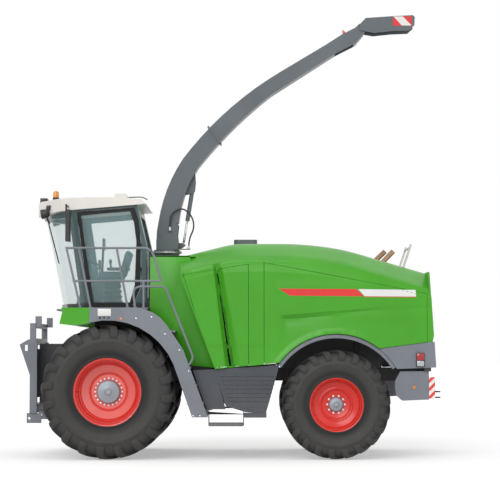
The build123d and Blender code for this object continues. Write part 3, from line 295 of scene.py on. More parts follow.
def along_line(points, x):
    """Height of a line of (x, z) points, its x falling, at an x."""
    if x >= points[0][0]:
        return points[0][1]
    for (x_a, z_a), (x_b, z_b) in zip(points, points[1:]):
        if x >= x_b:
            return z_a + (z_b - z_a) * (x_a - x) / (x_a - x_b)
    return points[-1][1]


# Finishes: shared effects first, then one material for each finish

def node(tree, kind, **settings):
    made = tree.nodes.new(kind)
    for key, value in settings.items():
        setattr(made, key, value)
    return made


def effect(name, inputs, outputs):
    tree = bpy.data.node_groups.new(name, "ShaderNodeTree")
    for label, kind, value in inputs:
        tree.interface.new_socket(label, in_out="INPUT", socket_type=kind).default_value = value
    for label, kind in outputs:
        tree.interface.new_socket(label, in_out="OUTPUT", socket_type=kind)
    return tree, tree.nodes.new("NodeGroupInput"), tree.nodes.new("NodeGroupOutput")


def feed(tree, socket, value):
    """Sets a socket to a constant, or links it to a value that varies."""
    if isinstance(value, (tuple, list)):
        socket.default_value = (*value, 1)
    elif isinstance(value, (int, float)):
        socket.default_value = value
    elif value is not None:
        tree.links.new(value, socket)


def noise_on(tree, place_socket, scale, detail=4):
    made = node(tree, "ShaderNodeTexNoise")
    for label, value in (("Detail", detail), ("Scale", scale), ("Vector", place_socket)):
        feed(tree, made.inputs[label], value)
    return made.outputs["Fac"]


def maths(tree, operation, first, second=None, clamp=False):
    made = node(tree, "ShaderNodeMath", operation=operation, use_clamp=clamp)
    feed(tree, made.inputs[0], first)
    feed(tree, made.inputs[1], second)
    return made.outputs[0]


def spread(tree, value, from_low, from_high, to_low=0.0, to_high=1.0):
    made = node(tree, "ShaderNodeMapRange")
    labels = ("Value", "From Min", "From Max", "To Min", "To Max")
    for label, number in zip(labels, (value, from_low, from_high, to_low, to_high)):
        feed(tree, made.inputs[label], number)
    return made.outputs["Result"]


def blend_colours(tree, share, first, second):
    made = node(tree, "ShaderNodeMix", data_type="RGBA")
    for index, value in ((0, share), (6, first), (7, second)):
        feed(tree, made.inputs[index], value)
    return made.outputs[2]


def plainly_seen(tree):
    """1 for rays from the camera, off a shiny face or through glass."""
    rays = node(tree, "ShaderNodeLightPath").outputs
    seen = maths(tree, "MAXIMUM", rays["Is Camera Ray"], rays["Is Glossy Ray"])
    return maths(tree, "MAXIMUM", seen, rays["Is Transmission Ray"])


def make_grain():
    tree, inside, outside = effect(
        "surface grain", [("Fineness", "NodeSocketFloat", 90.0)],
        [("Fine", "NodeSocketFloat"), ("Cloudy", "NodeSocketFloat")],
    )
    where = node(tree, "ShaderNodeTexCoord").outputs["Object"]
    tree.links.new(noise_on(tree, where, inside.outputs["Fineness"], 5), outside.inputs["Fine"])
    tree.links.new(noise_on(tree, where, 1.6, 3), outside.inputs["Cloudy"])
    return tree


def make_edge_wear():
    tree, inside, outside = effect(
        "edge wear", [("Reach", "NodeSocketFloat", 0.006), ("Patchiness", "NodeSocketFloat", 14.0)],
        [("Worn", "NodeSocketFloat")],
    )
    soft = node(tree, "ShaderNodeBevel", samples=3)
    tree.links.new(inside.outputs["Reach"], soft.inputs["Radius"])
    turn = node(tree, "ShaderNodeVectorMath", operation="DOT_PRODUCT")
    tree.links.new(soft.outputs[0], turn.inputs[0])
    tree.links.new(node(tree, "ShaderNodeNewGeometry").outputs["Normal"], turn.inputs[1])
    edge = spread(tree, turn.outputs["Value"], 0.99, 0.86)
    where = node(tree, "ShaderNodeTexCoord").outputs["Object"]
    patches = spread(tree, noise_on(tree, where, inside.outputs["Patchiness"], 4), 0.45, 0.62)
    tree.links.new(maths(tree, "MULTIPLY", edge, patches, clamp=True), outside.inputs["Worn"])
    return tree


def make_dust():
    tree, inside, outside = effect(
        "settled dust", [("Amount", "NodeSocketFloat", 0.3), ("Splash Height", "NodeSocketFloat", 0.9)],
        [("Dust", "NodeSocketFloat")],
    )
    where = node(tree, "ShaderNodeTexCoord").outputs["Object"]
    facing = node(tree, "ShaderNodeSeparateXYZ")
    tree.links.new(node(tree, "ShaderNodeNewGeometry").outputs["Normal"], facing.inputs[0])
    flat = spread(tree, facing.outputs["Z"], 0.55, 1.0)
    spot = node(tree, "ShaderNodeSeparateXYZ")
    tree.links.new(where, spot.inputs[0])
    depth = maths(tree, "SUBTRACT", inside.outputs["Splash Height"], spot.outputs["Z"])
    low = maths(tree, "MULTIPLY", spread(tree, depth, 0.0, 1.0), 0.6)
    cloud = spread(tree, noise_on(tree, where, 5.0, 6), 0.35, 0.7)
    both = maths(tree, "MULTIPLY", maths(tree, "MAXIMUM", flat, low), cloud)
    tree.links.new(maths(tree, "MULTIPLY", both, inside.outputs["Amount"], clamp=True),
        outside.inputs["Dust"])
    return tree


grain_effect = make_grain()
wear_effect = make_edge_wear()
dust_effect = make_dust()
dust_colour = (0.42, 0.38, 0.32)


def use(tree, group, **values):
    made = node(tree, "ShaderNodeGroup", node_tree=group)
    for label, value in values.items():
        made.inputs[label.replace("_", " ")].default_value = value
    return made.outputs


def finish(
    name, colour, roughness=0.4, metallic=0.0, coat=0.0, fineness=90, bump=0.12, variation=0.1, worn=None,
    wear=0.0, dust=0.25, splash=0.9, pattern=None, relief=None, depth=0.0008, **plain
):
    """Material with cloudy colour, fine grain, worn edges and dust over one base colour."""
    material = bpy.data.materials.new(name)
    material.use_nodes = True
    tree = material.node_tree
    shader = tree.nodes["Principled BSDF"]
    shader.inputs["Metallic"].default_value = metallic
    shader.inputs["Coat Weight"].default_value = coat
    shader.inputs["Coat Roughness"].default_value = 0.12
    for label, value in plain.items():
        shader.inputs[label.replace("_", " ")].default_value = value
    grain = use(tree, grain_effect, Fineness=fineness)
    base = pattern(tree) if pattern else tuple(colour)
    if not pattern:
        darker = tuple(c * (1 - variation) for c in colour)
        lighter = tuple(min(1, c * (1 + 0.6 * variation)) for c in colour)
        base = blend_colours(tree, spread(tree, grain["Cloudy"], 0.35, 0.65), darker, lighter)
    if wear:
        mask = maths(tree, "MULTIPLY", use(tree, wear_effect)["Worn"], wear)
        base = blend_colours(tree, mask, base, worn or tuple(min(1, c * 2.4 + 0.03) for c in colour))
    if dust:
        settled = use(tree, dust_effect, Amount=dust, Splash_Height=splash)["Dust"]
        base = blend_colours(tree, settled, base, dust_colour)
        rough = maths(tree, "ADD", spread(tree, grain["Fine"], 0.3, 0.7, roughness - 0.05, roughness + 0.07),
                      maths(tree, "MULTIPLY", settled, 0.4), clamp=True)
    else:
        rough = spread(tree, grain["Fine"], 0.3, 0.7, max(0.02, roughness - 0.04), roughness + 0.06)
    tree.links.new(base, shader.inputs["Base Color"])
    tree.links.new(rough, shader.inputs["Roughness"])
    height = relief(tree) if relief else grain["Fine"]
    bumps = node(tree, "ShaderNodeBump")
    bumps.inputs["Strength"].default_value = bump
    bumps.inputs["Distance"].default_value = depth
    tree.links.new(height, bumps.inputs["Height"])
    tree.links.new(bumps.outputs["Normal"], shader.inputs["Normal"])
    return material


def object_axes(tree):
    apart = node(tree, "ShaderNodeSeparateXYZ")
    tree.links.new(node(tree, "ShaderNodeTexCoord").outputs["Object"], apart.inputs[0])
    return apart.outputs


def board_stripes(tree):
    """Diagonal red and white bands across a marker board."""
    axes = object_axes(tree)
    slanted = maths(tree, "ADD", maths(tree, "ADD", axes["X"], axes["Z"]), axes["Y"])
    phase = maths(tree, "PINGPONG", maths(tree, "DIVIDE", slanted, 0.062), 1.0)
    return blend_colours(tree, spread(tree, phase, 0.49, 0.51), (0.78, 0.05, 0.04), (0.85, 0.84, 0.82))


def raised_tread(tree):
    """Height of crossed bars on tread plate."""
    axes = object_axes(tree)
    waves = []
    for sign in (1, -1):
        along = maths(tree, "ADD", axes["X"], maths(tree, "MULTIPLY", axes["Y"], sign))
        waves.append(maths(tree, "SINE", maths(tree, "MULTIPLY", along, 150.0)))
    product = maths(tree, "MULTIPLY", waves[0], waves[1])
    return spread(tree, product, 0.25, 0.6)


def wheel_distance(tree, axle_x, axle_z):
    """Distance in metres from a wheel's axis."""
    axes = object_axes(tree)
    squares = []
    for axis, centre in (("X", axle_x / 1000), ("Z", axle_z / 1000)):
        away = maths(tree, "ABSOLUTE", maths(tree, "SUBTRACT", axes[axis], centre))
        squares.append(maths(tree, "POWER", away, 2.0))
    return maths(tree, "SQRT", maths(tree, "ADD", *squares))


def front_disc_painted_sheen(tree):
    """Painted sheen on the front discs: their face and an inner ring are paler pink, a broad highlight, over
    the plain red paint of the barrels.
    """
    away = wheel_distance(tree, front_axle_x, front_tyre_radius)
    sheen_band = maths(tree, "MULTIPLY", spread(tree, away, 0.408, 0.396), spread(tree, away, 0.279, 0.287))
    foot = spread(tree, away, 0.215, 0.225, 0.55, 1.0)
    inner = maths(tree, "MULTIPLY", spread(tree, away, 0.268, 0.260), foot)
    share = maths(tree, "MULTIPLY", maths(tree, "MAXIMUM", sheen_band, inner), 0.85)
    return blend_colours(tree, share, (0.70, 0.022, 0.012), (0.84, 0.175, 0.15))


def casing_painted_shade(axle_x, radius):
    """Casing rubber with painted shade: darker near the rim and between the bars, where shade falls, than on
    the sidewall.
    """
    def pattern(tree):
        share = maths(tree, "DIVIDE", wheel_distance(tree, axle_x, radius), radius / 1000)
        pale = maths(tree, "MULTIPLY", spread(tree, share, 0.57, 0.64), spread(tree, share, 0.93, 0.86))
        cloud = spread(tree, use(tree, grain_effect, Fineness=7.0)["Fine"], 0.3, 0.7, 0.8, 1.0)
        share = maths(tree, "MULTIPLY", pale, cloud)
        return blend_colours(tree, share, (0.012, 0.012, 0.012), (0.046, 0.045, 0.043))
    return pattern


def pillar_tone(tree):
    """Pillars behind the tinted glass that wraps round them, black at the sill."""
    tinted = spread(tree, object_axes(tree)["Z"], 2.32, 2.36)
    return blend_colours(tree, tinted, (0.009, 0.010, 0.011), (0.062, 0.108, 0.112))


def woven_cloth(tree):
    """Height of the seat cover's weave."""
    axes = object_axes(tree)
    warp = maths(tree, "SINE", maths(tree, "MULTIPLY", axes["Y"], 900.0))
    weft = maths(tree, "SINE", maths(tree, "MULTIPLY", maths(tree, "ADD", axes["X"], axes["Z"]), 900.0))
    return maths(tree, "MULTIPLY", warp, weft)


leaf_green = finish(
    "leaf green paint", (0.062, 0.365, 0.014), 0.34, coat=0.12, fineness=140, bump=0.03, variation=0.06,
    wear=0.25, dust=0.07, splash=1.5, Specular_IOR_Level=0.3
)
mid_grey = finish(
    "mid grey paint", (0.185, 0.20, 0.23), 0.42, coat=0.1, bump=0.06, wear=0.5, dust=0.2, splash=1.3
)
spout_grey = finish("spout grey paint", (0.105, 0.12, 0.135), 0.42, coat=0.1, bump=0.06, wear=0.5, dust=0.15)
skirt_grey = finish(
    "dark skirt grey", (0.052, 0.058, 0.072), 0.5, bump=0.15, fineness=220, wear=0.4, dust=0.3, splash=1.3
)
frame_dark = finish("frame dark paint", (0.022, 0.024, 0.028), 0.5, bump=0.1, wear=0.5, dust=0.35, splash=1.6)
wheel_red = finish(
    "wheel red paint", (0.70, 0.022, 0.012), 0.32, coat=0.3, fineness=120, bump=0.03, variation=0.06,
    wear=0.3, dust=0.08, splash=1.0, Specular_IOR_Level=0.4
)
# Front rim red with a painted sheen: the pale pink face and inner ring stand in for a broad highlight.
front_wheel_red_with_painted_sheen = finish(
    "front wheel red paint with painted sheen", (0.7, 0.02, 0.01), 0.3, coat=0.5, fineness=120, bump=0.03,
    pattern=front_disc_painted_sheen,
    wear=0.3, dust=0.06, splash=1.0
)
stripe_red = finish(
    "stripe red film", (0.75, 0.02, 0.02), 0.3, coat=0.3, bump=0.02, variation=0.05, dust=0.06
)
stripe_white = finish(
    "stripe white film", (0.82, 0.82, 0.80), 0.3, coat=0.3, bump=0.02, variation=0.03, dust=0.06
)
roof_white = finish(
    "roof off-white", (0.80, 0.77, 0.72), 0.4, coat=0.15, fineness=160, bump=0.05, variation=0.05, wear=0.1,
    dust=0.15
)
hub_grey = finish(
    "hub casting grey", (0.30, 0.34, 0.38), 0.45, metallic=0.3, bump=0.2, fineness=160, wear=0.5, dust=0.2
)
rubber = finish(
    "tread bar rubber", (0.036, 0.035, 0.034), 0.62, fineness=260, bump=0.35, depth=0.001, variation=0.22,
    wear=0.4, worn=(0.10, 0.095, 0.09), dust=0.16, splash=0.7, Specular_IOR_Level=0.35
)
# Casing rubber with painted shade near the rim and between the bars.
front_casing_rubber_painted_shade, rear_casing_rubber_painted_shade = [
    finish(
        f"{end} casing rubber with painted shade", (0.03, 0.03, 0.03), 0.6, fineness=260, bump=0.3, depth=0.001,
        pattern=casing_painted_shade(x, radius), dust=0.1, splash=0.5, Specular_IOR_Level=0.35
    )
    for end, x,
    radius in (("front", front_axle_x, front_tyre_radius), ("rear", rear_axle_x, rear_tyre_radius))
]
cast_iron = finish(
    "rough casting", (0.075, 0.078, 0.082), 0.55, metallic=0.3, fineness=60, bump=0.4, wear=0.5, dust=0.35
)
bare_steel = finish(
    "bare steel", (0.42, 0.42, 0.43), 0.35, metallic=0.9, fineness=240, bump=0.1, variation=0.15, dust=0.2
)
zinc_bolt = finish(
    "zinc plated bolts", (0.62, 0.63, 0.63), 0.3, metallic=0.85, fineness=200, bump=0.08, dust=0.1
)
hard_chrome = finish(
    "hard chrome rod", (0.75, 0.76, 0.78), 0.1, metallic=1.0, bump=0.01, variation=0.03, dust=0.05
)
heat_steel = finish(
    "heat tinted exhaust", (0.36, 0.21, 0.13), 0.4, metallic=0.7, fineness=30, bump=0.2, variation=0.35,
    dust=0.1
)
pale_steel = finish(
    "galvanised rest", (0.55, 0.54, 0.50), 0.42, metallic=0.6, fineness=70, bump=0.15, variation=0.15
)
black_plastic = finish(
    "black moulded plastic", (0.018, 0.018, 0.019), 0.45, fineness=320, bump=0.25, wear=0.2, dust=0.12
)
pillar_black = finish(
    "pillar black paint", (0.008, 0.009, 0.010), 0.35, bump=0.04, wear=0.1, dust=0.04, Specular_IOR_Level=0.25
)
tread_plate = finish(
    "tread plate", (0.14, 0.145, 0.155), 0.4, metallic=0.5, bump=0.6, depth=0.003, relief=raised_tread,
    wear=0.5,
    dust=0.3
)
seat_cloth = finish(
    "woven seat cover", (0.055, 0.085, 0.09), 0.85, bump=0.5, relief=woven_cloth, variation=0.18, dust=0.0
)
hose_black = finish("hydraulic hose rubber", (0.016, 0.016, 0.017), 0.5, fineness=400, bump=0.2, dust=0.1)
board_face = finish(
    "board stripes", (0.8, 0.05, 0.04), 0.25, coat=0.3, pattern=board_stripes, bump=0.03, dust=0.08
)
amber_lens = finish(
    "amber lens", (0.95, 0.30, 0.01), 0.12, coat=0.5, bump=0.1, fineness=60, dust=0.04,
    Transmission_Weight=0.25
)
red_lens = finish(
    "red lens", (0.55, 0.012, 0.012), 0.12, coat=0.5, bump=0.1, fineness=60, dust=0.04,
    Transmission_Weight=0.2
)
clear_lens = finish(
    "clear lamp lens", (0.75, 0.78, 0.80), 0.08, coat=0.6, bump=0.15, fineness=90, dust=0.03,
    Transmission_Weight=0.35
)
screen_face = finish("monitor screen", (0.02, 0.028, 0.032), 0.12, coat=0.6, bump=0.01, dust=0.03)
plate_white = finish(
    "blank white plate", (0.80, 0.79, 0.77), 0.35, coat=0.2, bump=0.03, variation=0.03, dust=0.1
)
tinted_pillar = finish(
    "tinted pillar", (0.06, 0.1, 0.1), 0.25, pattern=pillar_tone, bump=0.02, dust=0.03, Specular_IOR_Level=0.4
)
cab_window = finish(
    "tinted window glass", (0.52, 0.76, 0.78), 0.03, coat=0.0, bump=0.0, variation=0.04, dust=0.02,
    Alpha=0.17,
    Transmission_Weight=0.0
)

# Columns: material, CAD nodes that show it
node_finishes = [
    (leaf_green,
        "hood_front hood_band hood_top side_panel_left side_panel_right side_door_left side_door_right"),
    (leaf_green, "lamp_housings"),
    (mid_grey, "mudguards tail_panel rear_boxes handrails header_frame"),
    (spout_grey, "spout spout_arm spout_flap spout_base lift_barrel intake_box"),
    (skirt_grey, "side_skirts"),
    (frame_dark,
        "chassis_rails chassis_brackets tail_frame arch_liners crop_duct chopper_housing intake_housing"),
    (cast_iron, "front_axle rear_axle knuckle_left knuckle_right engine_block"),
    (tread_plate, "platform stairs"),
    (wheel_red, "rim_front_left rim_front_right rim_rear_left rim_rear_right"),
    (rubber, "tyre_front_left tyre_front_right tyre_rear_left tyre_rear_right"),
    (bare_steel, "feed_rolls"),
    (hard_chrome, "steering_rod lift_rod"),
    (heat_steel, "exhausts"),
    (pale_steel, "spout_rest"),
    (tinted_pillar, "cab_frame"),
    (pillar_black, "cab_door"),
    (roof_white, "cab_roof"),
    (cab_window, "cab_glass cab_door_glass"),
    (black_plastic, "mirrors roof_lamps console"),
    (seat_cloth, "seat"),
    (board_face, "marker_boards"),
    (hose_black, "hose_loop"),
]
for material, names in node_finishes:
    for name in names.split():
        slots = nodes[name].data.materials
        if not len(slots):
            slots.append(material)
        for index in range(len(slots)):
            slots[index] = material


# Hose looped beside the spout's foot, with a crimped fitting at each end
hose_y = 200
hose_route = [
    (690, 3200), (690, 3350), (598, 3530), (640, 3720), (790, 3850), (960, 3760), (985, 3600), (985, 3490)
]
hose_line = bpy.data.curves.new("spout_hose", "CURVE")
hose_line.dimensions = "3D"
spline = hose_line.splines.new("NURBS")
spline.points.add(len(hose_route) - 1)
for point, (x, z) in zip(spline.points, hose_route):
    point.co = (x / 1000, hose_y / 1000, z / 1000, 1)
spline.order_u = 3
spline.use_endpoint_u = True
spline.resolution_u = 16
hose_line.bevel_depth = 0.012
hose_line.bevel_resolution = 5
hose_line.use_fill_caps = True
hose = bpy.data.objects.new("spout_hose", hose_line)
bpy.context.collection.objects.link(hose)
hose_line.materials.append(hose_black)
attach(hose, "spout_base")
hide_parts("hose_loop")

fittings = []
for x, z in (hose_route[0], hose_route[-1]):
    crimp = [(0, 0), (0, 20), (14, 20), (16, 17), (20, 17), (22, 16.5), (48, 16.5), (52, 13), (52, 0)]
    fittings.append(turned(crimp, (x, hose_y, z), upright, 24))
hose_fittings = place(joined(*fittings), "hose_fittings", zinc_bolt, "spout_base")


# Tyres: a spun casing with curved bars that run from the middle to each shoulder

def tread_bar(radius, width, lug_height):
    """One bar at the top of a tyre, bent round it, its inner end leading."""
    top = radius - 1.5
    floor = radius - lug_height - 14
    outline = [
        (-8, top), (0.22 * width, top - 3), (0.38 * width, top - 0.010 * radius),
        (0.445 * width, top - 0.028 * radius),
    ]
    # Columns: shares of the tyre's width and radius
    shoulder = [
        (0.478, 0.935), (0.4925, 0.90), (0.4985, 0.86), (0.4985, 0.825), (0.489, 0.80), (0.46, 0.80),
        (0.44, 0.86)
    ]
    outline += [(out * width, up * radius) for out, up in shoulder]
    outline += [(0.38 * width, floor), (0.22 * width, floor), (-8, floor)]
    half = 0.040 * radius
    piece = corner_loop([(-half, y, r) for y, r in outline])
    edit_all(piece)
    bpy.ops.mesh.extrude_region_move(TRANSFORM_OT_translate={"value": (2 * half / 1000, 0, 0)})
    tidy_mesh(piece)
    edit_all(piece)
    for share in (0.08, 0.15, 0.30, 0.35):
        bpy.ops.mesh.select_all(action="SELECT")
        bpy.ops.mesh.bisect(plane_co=(0, share * width / 1000, 0), plane_no=(0, 1, 0))
    bpy.ops.object.mode_set(mode="OBJECT")
    for vertex in piece.data.vertices:
        x, y, r = vertex.co * 1000
        share = min(1, max(0, y / (0.5 * width)))
        thick = 0.86 + 0.42 * share + 0.35 * (radius - r) / (3 * lug_height)
        if r < radius - 0.75 * lug_height:
            thick += 0.10
        back = 0.145 * width * (1 - 2 * share**0.85)
        turn = (x * thick + back) / radius
        vertex.co = Vector((r * sin(turn), y, r * cos(turn))) / 1000
    return rounded(piece, 0.006 * radius, 2, 40)


def tyre_casing(radius, width, bead, lug_height, steps):
    """Spun casing about the Y axis at the origin, with the sidewall's rings."""
    half = [(0.392 * width, bead + 2)]
    # Columns: share of the width, then of the radius past the bead, of the radius, and of the lug's height
    heel = [(0.410, 0.004), (0.424, 0.022), (0.426, 0.045), (0.418, 0.056)]
    side = [
        (0.428, 0.585), (0.452, 0.62), (0.476, 0.66), (0.490, 0.70), (0.4945, 0.735), (0.4985, 0.742),
        (0.4985, 0.752), (0.4945, 0.760), (0.4925, 0.785), (0.4865, 0.792), (0.482, 0.815), (0.468, 0.855),
        (0.446, 0.895),
    ]
    tread = [(0.415, 1.06), (0.36, 1.0), (0.2, 0.94), (0.0, 0.92)]
    half += [(out * width, bead + up * radius) for out, up in heel]
    half += [(out * width, up * radius) for out, up in side]
    half += [(out * width, radius - down * lug_height) for out, down in tread]
    outer = half + [(-y, r) for y, r in reversed(half[:-1])]
    inner = [(-0.36 * width, bead + 2), (-0.44 * width, 0.72 * radius), (-0.36 * width, 0.86 * radius),
             (0.36 * width, 0.86 * radius), (0.44 * width, 0.72 * radius), (0.36 * width, bead + 2)]
    return turned(outer + inner, origin, steps=steps)


def whole_tyre(radius, width, bead, lug_height, lugs):
    bar = tread_bar(radius, width, lug_height)
    far = copied(bar, Matrix.Rotation(pi / lugs, 4, "Y") @ across)
    bars = round_the(joined(bar, far), origin, sideways, lugs)
    return tyre_casing(radius, width, bead, lug_height, 3 * lugs), bars


front_rim_profile = [
    (320, 487), (325, 493), (327, 504), (331, 508.5), (335, 508), (336, 503), (333, 494), (330, 485),
    (322, 476),
    (290, 468), (250, 461), (245, 452), (166, 442), (154, 436), (146, 424), (136, 412), (126, 406),
    (118, 398),
    (66, 300), (54, 286), (44, 281), (37, 274), (37, 266), (44, 259), (50, 252), (52, 190), (52, 0),
    (30, 0), (30, 262), (38, 292), (104, 398), (130, 430), (-318, 452), (-330, 488), (-334, 508), (-326, 508),
    (-320, 487),
]
rear_rim_profile = [
    (260, 385), (264, 391), (266, 402), (270, 406.5), (273, 406), (274, 401), (272, 393), (268, 384),
    (258, 376),
    (214, 366), (206, 356), (130, 344), (116, 338), (108, 326), (90, 272), (84, 258), (86, 250), (90, 240),
    (87, 228), (76, 218), (66, 204), (60, 190), (60, 0), (38, 0), (38, 196), (62, 240), (70, 280), (94, 344),
    (-258, 362), (-268, 386), (-274, 406), (-266, 406), (-260, 385),
]


def hub_cover(radius, base, out, cap):
    """Round cover over the hub with a stepped edge and a cap in its middle."""
    profile = [
        (base, 0), (base, radius + 6), (base + 10, radius + 6), (base + 14, radius + 1),
        (out - 22, radius - 4),
        (out - 10, radius - 12), (out - 6, radius - 24), (out - 4, cap + 14), (out, cap + 8), (out + 6, cap),
        (out + 12, cap - 8), (out + 12, 0),
    ]
    return turned(profile, origin, steps=48)


def wheel_stud(ring_radius, base, size):
    nut = rod((ring_radius, base - 2, 0), (ring_radius, base + size, 0), 0.95 * size, sides=6, bevel=1.5)
    tip = rod((ring_radius, base, 0), (ring_radius, base + 1.7 * size, 0), 0.5 * size, sides=10, bevel=1)
    washer = rod((ring_radius, base - 2, 0), (ring_radius, base + 3, 0), 1.3 * size, sides=16)
    return joined(nut, tip, washer)


# Columns: end, wheel's x and y, tyre, casing's finish, rim's profile and finish, hub cover, stud, studs, valve
wheel_sets = [
    ("front", front_axle_x, 1230, (front_tyre_radius, 800, 487, 58, 20), front_casing_rubber_painted_shade,
        front_rim_profile,
     front_wheel_red_with_painted_sheen, (172, 50, 138, 45), (201, 52, 11), 20, [(470, 246, 0), (452, 262, 0), (446, 292, 0)]),
    ("rear", rear_axle_x, 1235, (rear_tyre_radius, 650, 385, 50, 22), rear_casing_rubber_painted_shade, rear_rim_profile,
     wheel_red, (106, 58, 124, 36), (131, 60, 12), 10, [(362, 206, 0), (350, 220, 0), (346, 248, 0)]),
]
for end, x, y, tyre, casing_rubber, profile, disc_red, cover, stud, studs, valve in wheel_sets:
    casing, bars = whole_tyre(*tyre)
    # Columns: piece, name, material, whether it replaces the CAD node, smooth angle
    parts = [
        (casing, "tyre", casing_rubber, True, 40),
        (bars, "tread", rubber, False, 40),
        (turned(profile, origin, steps=72), "rim", disc_red, True, 30),
        (hub_cover(*cover), "hub", hub_grey, False, 35),
        (round_the(wheel_stud(*stud), origin, sideways, studs), "studs", zinc_bolt, False, 35),
        (joined(rod(*valve[:2], 5, 10), rod(*valve[1:], 6, 10, 1)), "valve", black_plastic, False, 35),
    ]
    spot = Matrix.Translation((x / 1000, y / 1000, tyre[0] / 1000))
    for part, name, material, replacing, smooth in parts:
        for hand, place_there in (("left", spot), ("right", across @ spot)):
            shown = [f"{name}_{end}_{hand}"] if replacing else ()
            place(
                copied(part, place_there), f"{end}_{hand}_{name}", material, f"wheel_{end}_{hand}", shown,
                smooth
            )
        bpy.data.objects.remove(part)


# Hood: one curved skin from side to side, cut into its panels

hood_crown = [
    (900, 3021), (-20, 3250), (-900, 3250), (-1240, 3226), (-1580, 3180), (-1870, 3113), (-2161, 3022),
    (-3300, 2692),
]
upper_crease = [(900, 2799), (-624, 2799), (-1190, 2754), (-1756, 2664), (-2531, 2560), (-3300, 2440)]
lower_crease = [(900, 2009), (-766, 2143), (-2621, 2292), (-3300, 2346)]
# Columns: distance from the middle, drop below the crown line
crown_section = [
    (0, 0), (350, 1), (650, 4), (850, 12), (930, 24), (1000, 45), (1080, 84), (1180, 140), (1290, 205),
    (1370, 250), (1408, 272), (1430, 290), (1443, 310), (1449, 336), (1450, 372),
]
arch_radius = 1045


def crown_height(x):
    steps = (-150, -100, -50, 0, 50, 100, 150)
    return sum(along_line(hood_crown, x + step) for step in steps) / len(steps)


def side_relief(x, z):
    """How far the hood's side stands out from its plane at a point."""
    crown = crown_height(x)
    upper = min(along_line(upper_crease, x), crown - 400)
    out = -46 * min(1, (z - upper) / max(60, crown - 310 - upper)) if z > upper else 0
    lower = along_line(lower_crease, x)
    if z < lower and x < -640:
        taper = smooth_share(-700, -800, x) * (1 - 0.78 * smooth_share(-900, -2500, x))
        fall = 66 * taper + 4
        below = lower - z
        out -= 50 * taper * (below / fall if below < fall else exp(-(below - fall) / 170))
    ridge_x = -700 - (2520 - z) * 0.22
    if 2000 < z < 2700:
        ridge = smooth_share(2010, 2150, z) * smooth_share(2690, 2560, z)
        out += 9 * smooth_share(ridge_x + 26, ridge_x - 26, x) * ridge
    # Flute down the middle door, wider at its foot
    middle = 218 - (2918 - z) * 0.154
    half = 74 + (2918 - z) * 0.040
    across_flute = (middle - x) / half
    if abs(across_flute) < 1:
        shape = smooth_share(-1, -0.45, across_flute) * (1 - smooth_share(-0.2, 1, across_flute))
        out -= 78 * shape * smooth_share(2930, 2800, z)
    # Lip round the wheel arch
    away = sqrt((x - rear_axle_x) ** 2 + (z - rear_tyre_radius) ** 2) - arch_radius
    if away < 90:
        out += 16 * (1 - smooth_share(42, 72, away))
    if x > -620:
        out -= 7 * smooth_share(1700, 1672, z) * smooth_share(-620, -560, x)
    if x < -2860:
        out -= 34 * smooth_share(-2860, -3020, x)
    return out


def lean(x):
    """How far a column of the skin leans back for each unit of height."""
    if x < -248:
        return 0
    if x < 218:
        return 0.154 * (x + 248) / 466
    return 0.154 + 0.224 * min(1, (x - 218) / 552)


def skin_columns():
    made = []
    x = 830
    while x > -3030:
        made.append(x)
        x -= 16 if x > -300 else 22
    return made


def hood_skin():
    """Curved sheet of the whole hood, before it is cut."""
    columns = skin_columns()
    shares = [i / 8 for i in range(1, 9)], [i / 22 for i in range(1, 23)], [i / 26 for i in range(1, 27)]
    side_count = len(crown_section) + sum(map(len, shares))
    deselect()
    bpy.ops.mesh.primitive_grid_add(x_subdivisions=len(columns) - 1, y_subdivisions=2 * side_count - 2,
        size=2)
    skin = bpy.context.active_object
    width = len(columns)
    for i, x_top in enumerate(columns):
        crown = crown_height(x_top)
        section = [(y, crown - drop) for y, drop in crown_section]
        low = crown - crown_section[-1][1]
        upper = min(along_line(upper_crease, x_top), low - 30)
        lower = along_line(lower_crease, x_top)
        for part, start, end in zip(shares, (low, upper, lower), (upper, lower, 1300)):
            section += [(hood_half_width, start + (end - start) * share) for share in part]
        for j, (y, z) in enumerate(section):
            x = x_top - lean(x_top) * max(0, 2918 - z)
            wide = y + side_relief(x, z) * smooth_share(1380, hood_half_width, y)
            for sign in (1, -1):
                row = side_count - 1 - sign * j
                skin.data.vertices[row * width + i].co = Vector((x, sign * wide, z)) / 1000
    return skin


def under_hood(raised=0):
    """Solid of the space below the hood with the wheel arches."""
    arch = []
    for i in range(49):
        angle = radians(36.05 + (127.6 - 36.05) * i / 48)
        arch.append((rear_axle_x + arch_radius * cos(angle), rear_tyre_radius + arch_radius * sin(angle)))
    outline = [(900, 1000), (900, 1320), (253, 1340), *arch, (-2985, 1745), (-3300, 1745), (-3300, 1000)]
    return side_plate([(x, z + raised) for x, z in outline], -2000, 2000, bevel=0)


def drop_faces(piece, test):
    """Deletes the faces whose middle passes a test in millimetres."""
    pick(piece, "FACE", lambda face: test(face.center * 1000))
    bpy.ops.mesh.delete(type="FACE")
    bpy.ops.mesh.select_mode(type="VERT")
    bpy.ops.object.mode_set(mode="OBJECT")
    return piece


def score(piece, point, normal):
    """Cuts edges into the piece on a plane and keeps both sides."""
    edit_all(piece)
    bpy.ops.mesh.bisect(plane_co=Vector(point) / 1000, plane_no=normal)
    bpy.ops.object.mode_set(mode="OBJECT")
    return piece


def plane(x, z, normal_x, normal_z):
    """Point and normal of a plane that shows as a line from the side."""
    return (x, 0, z), (normal_x, 0, normal_z)


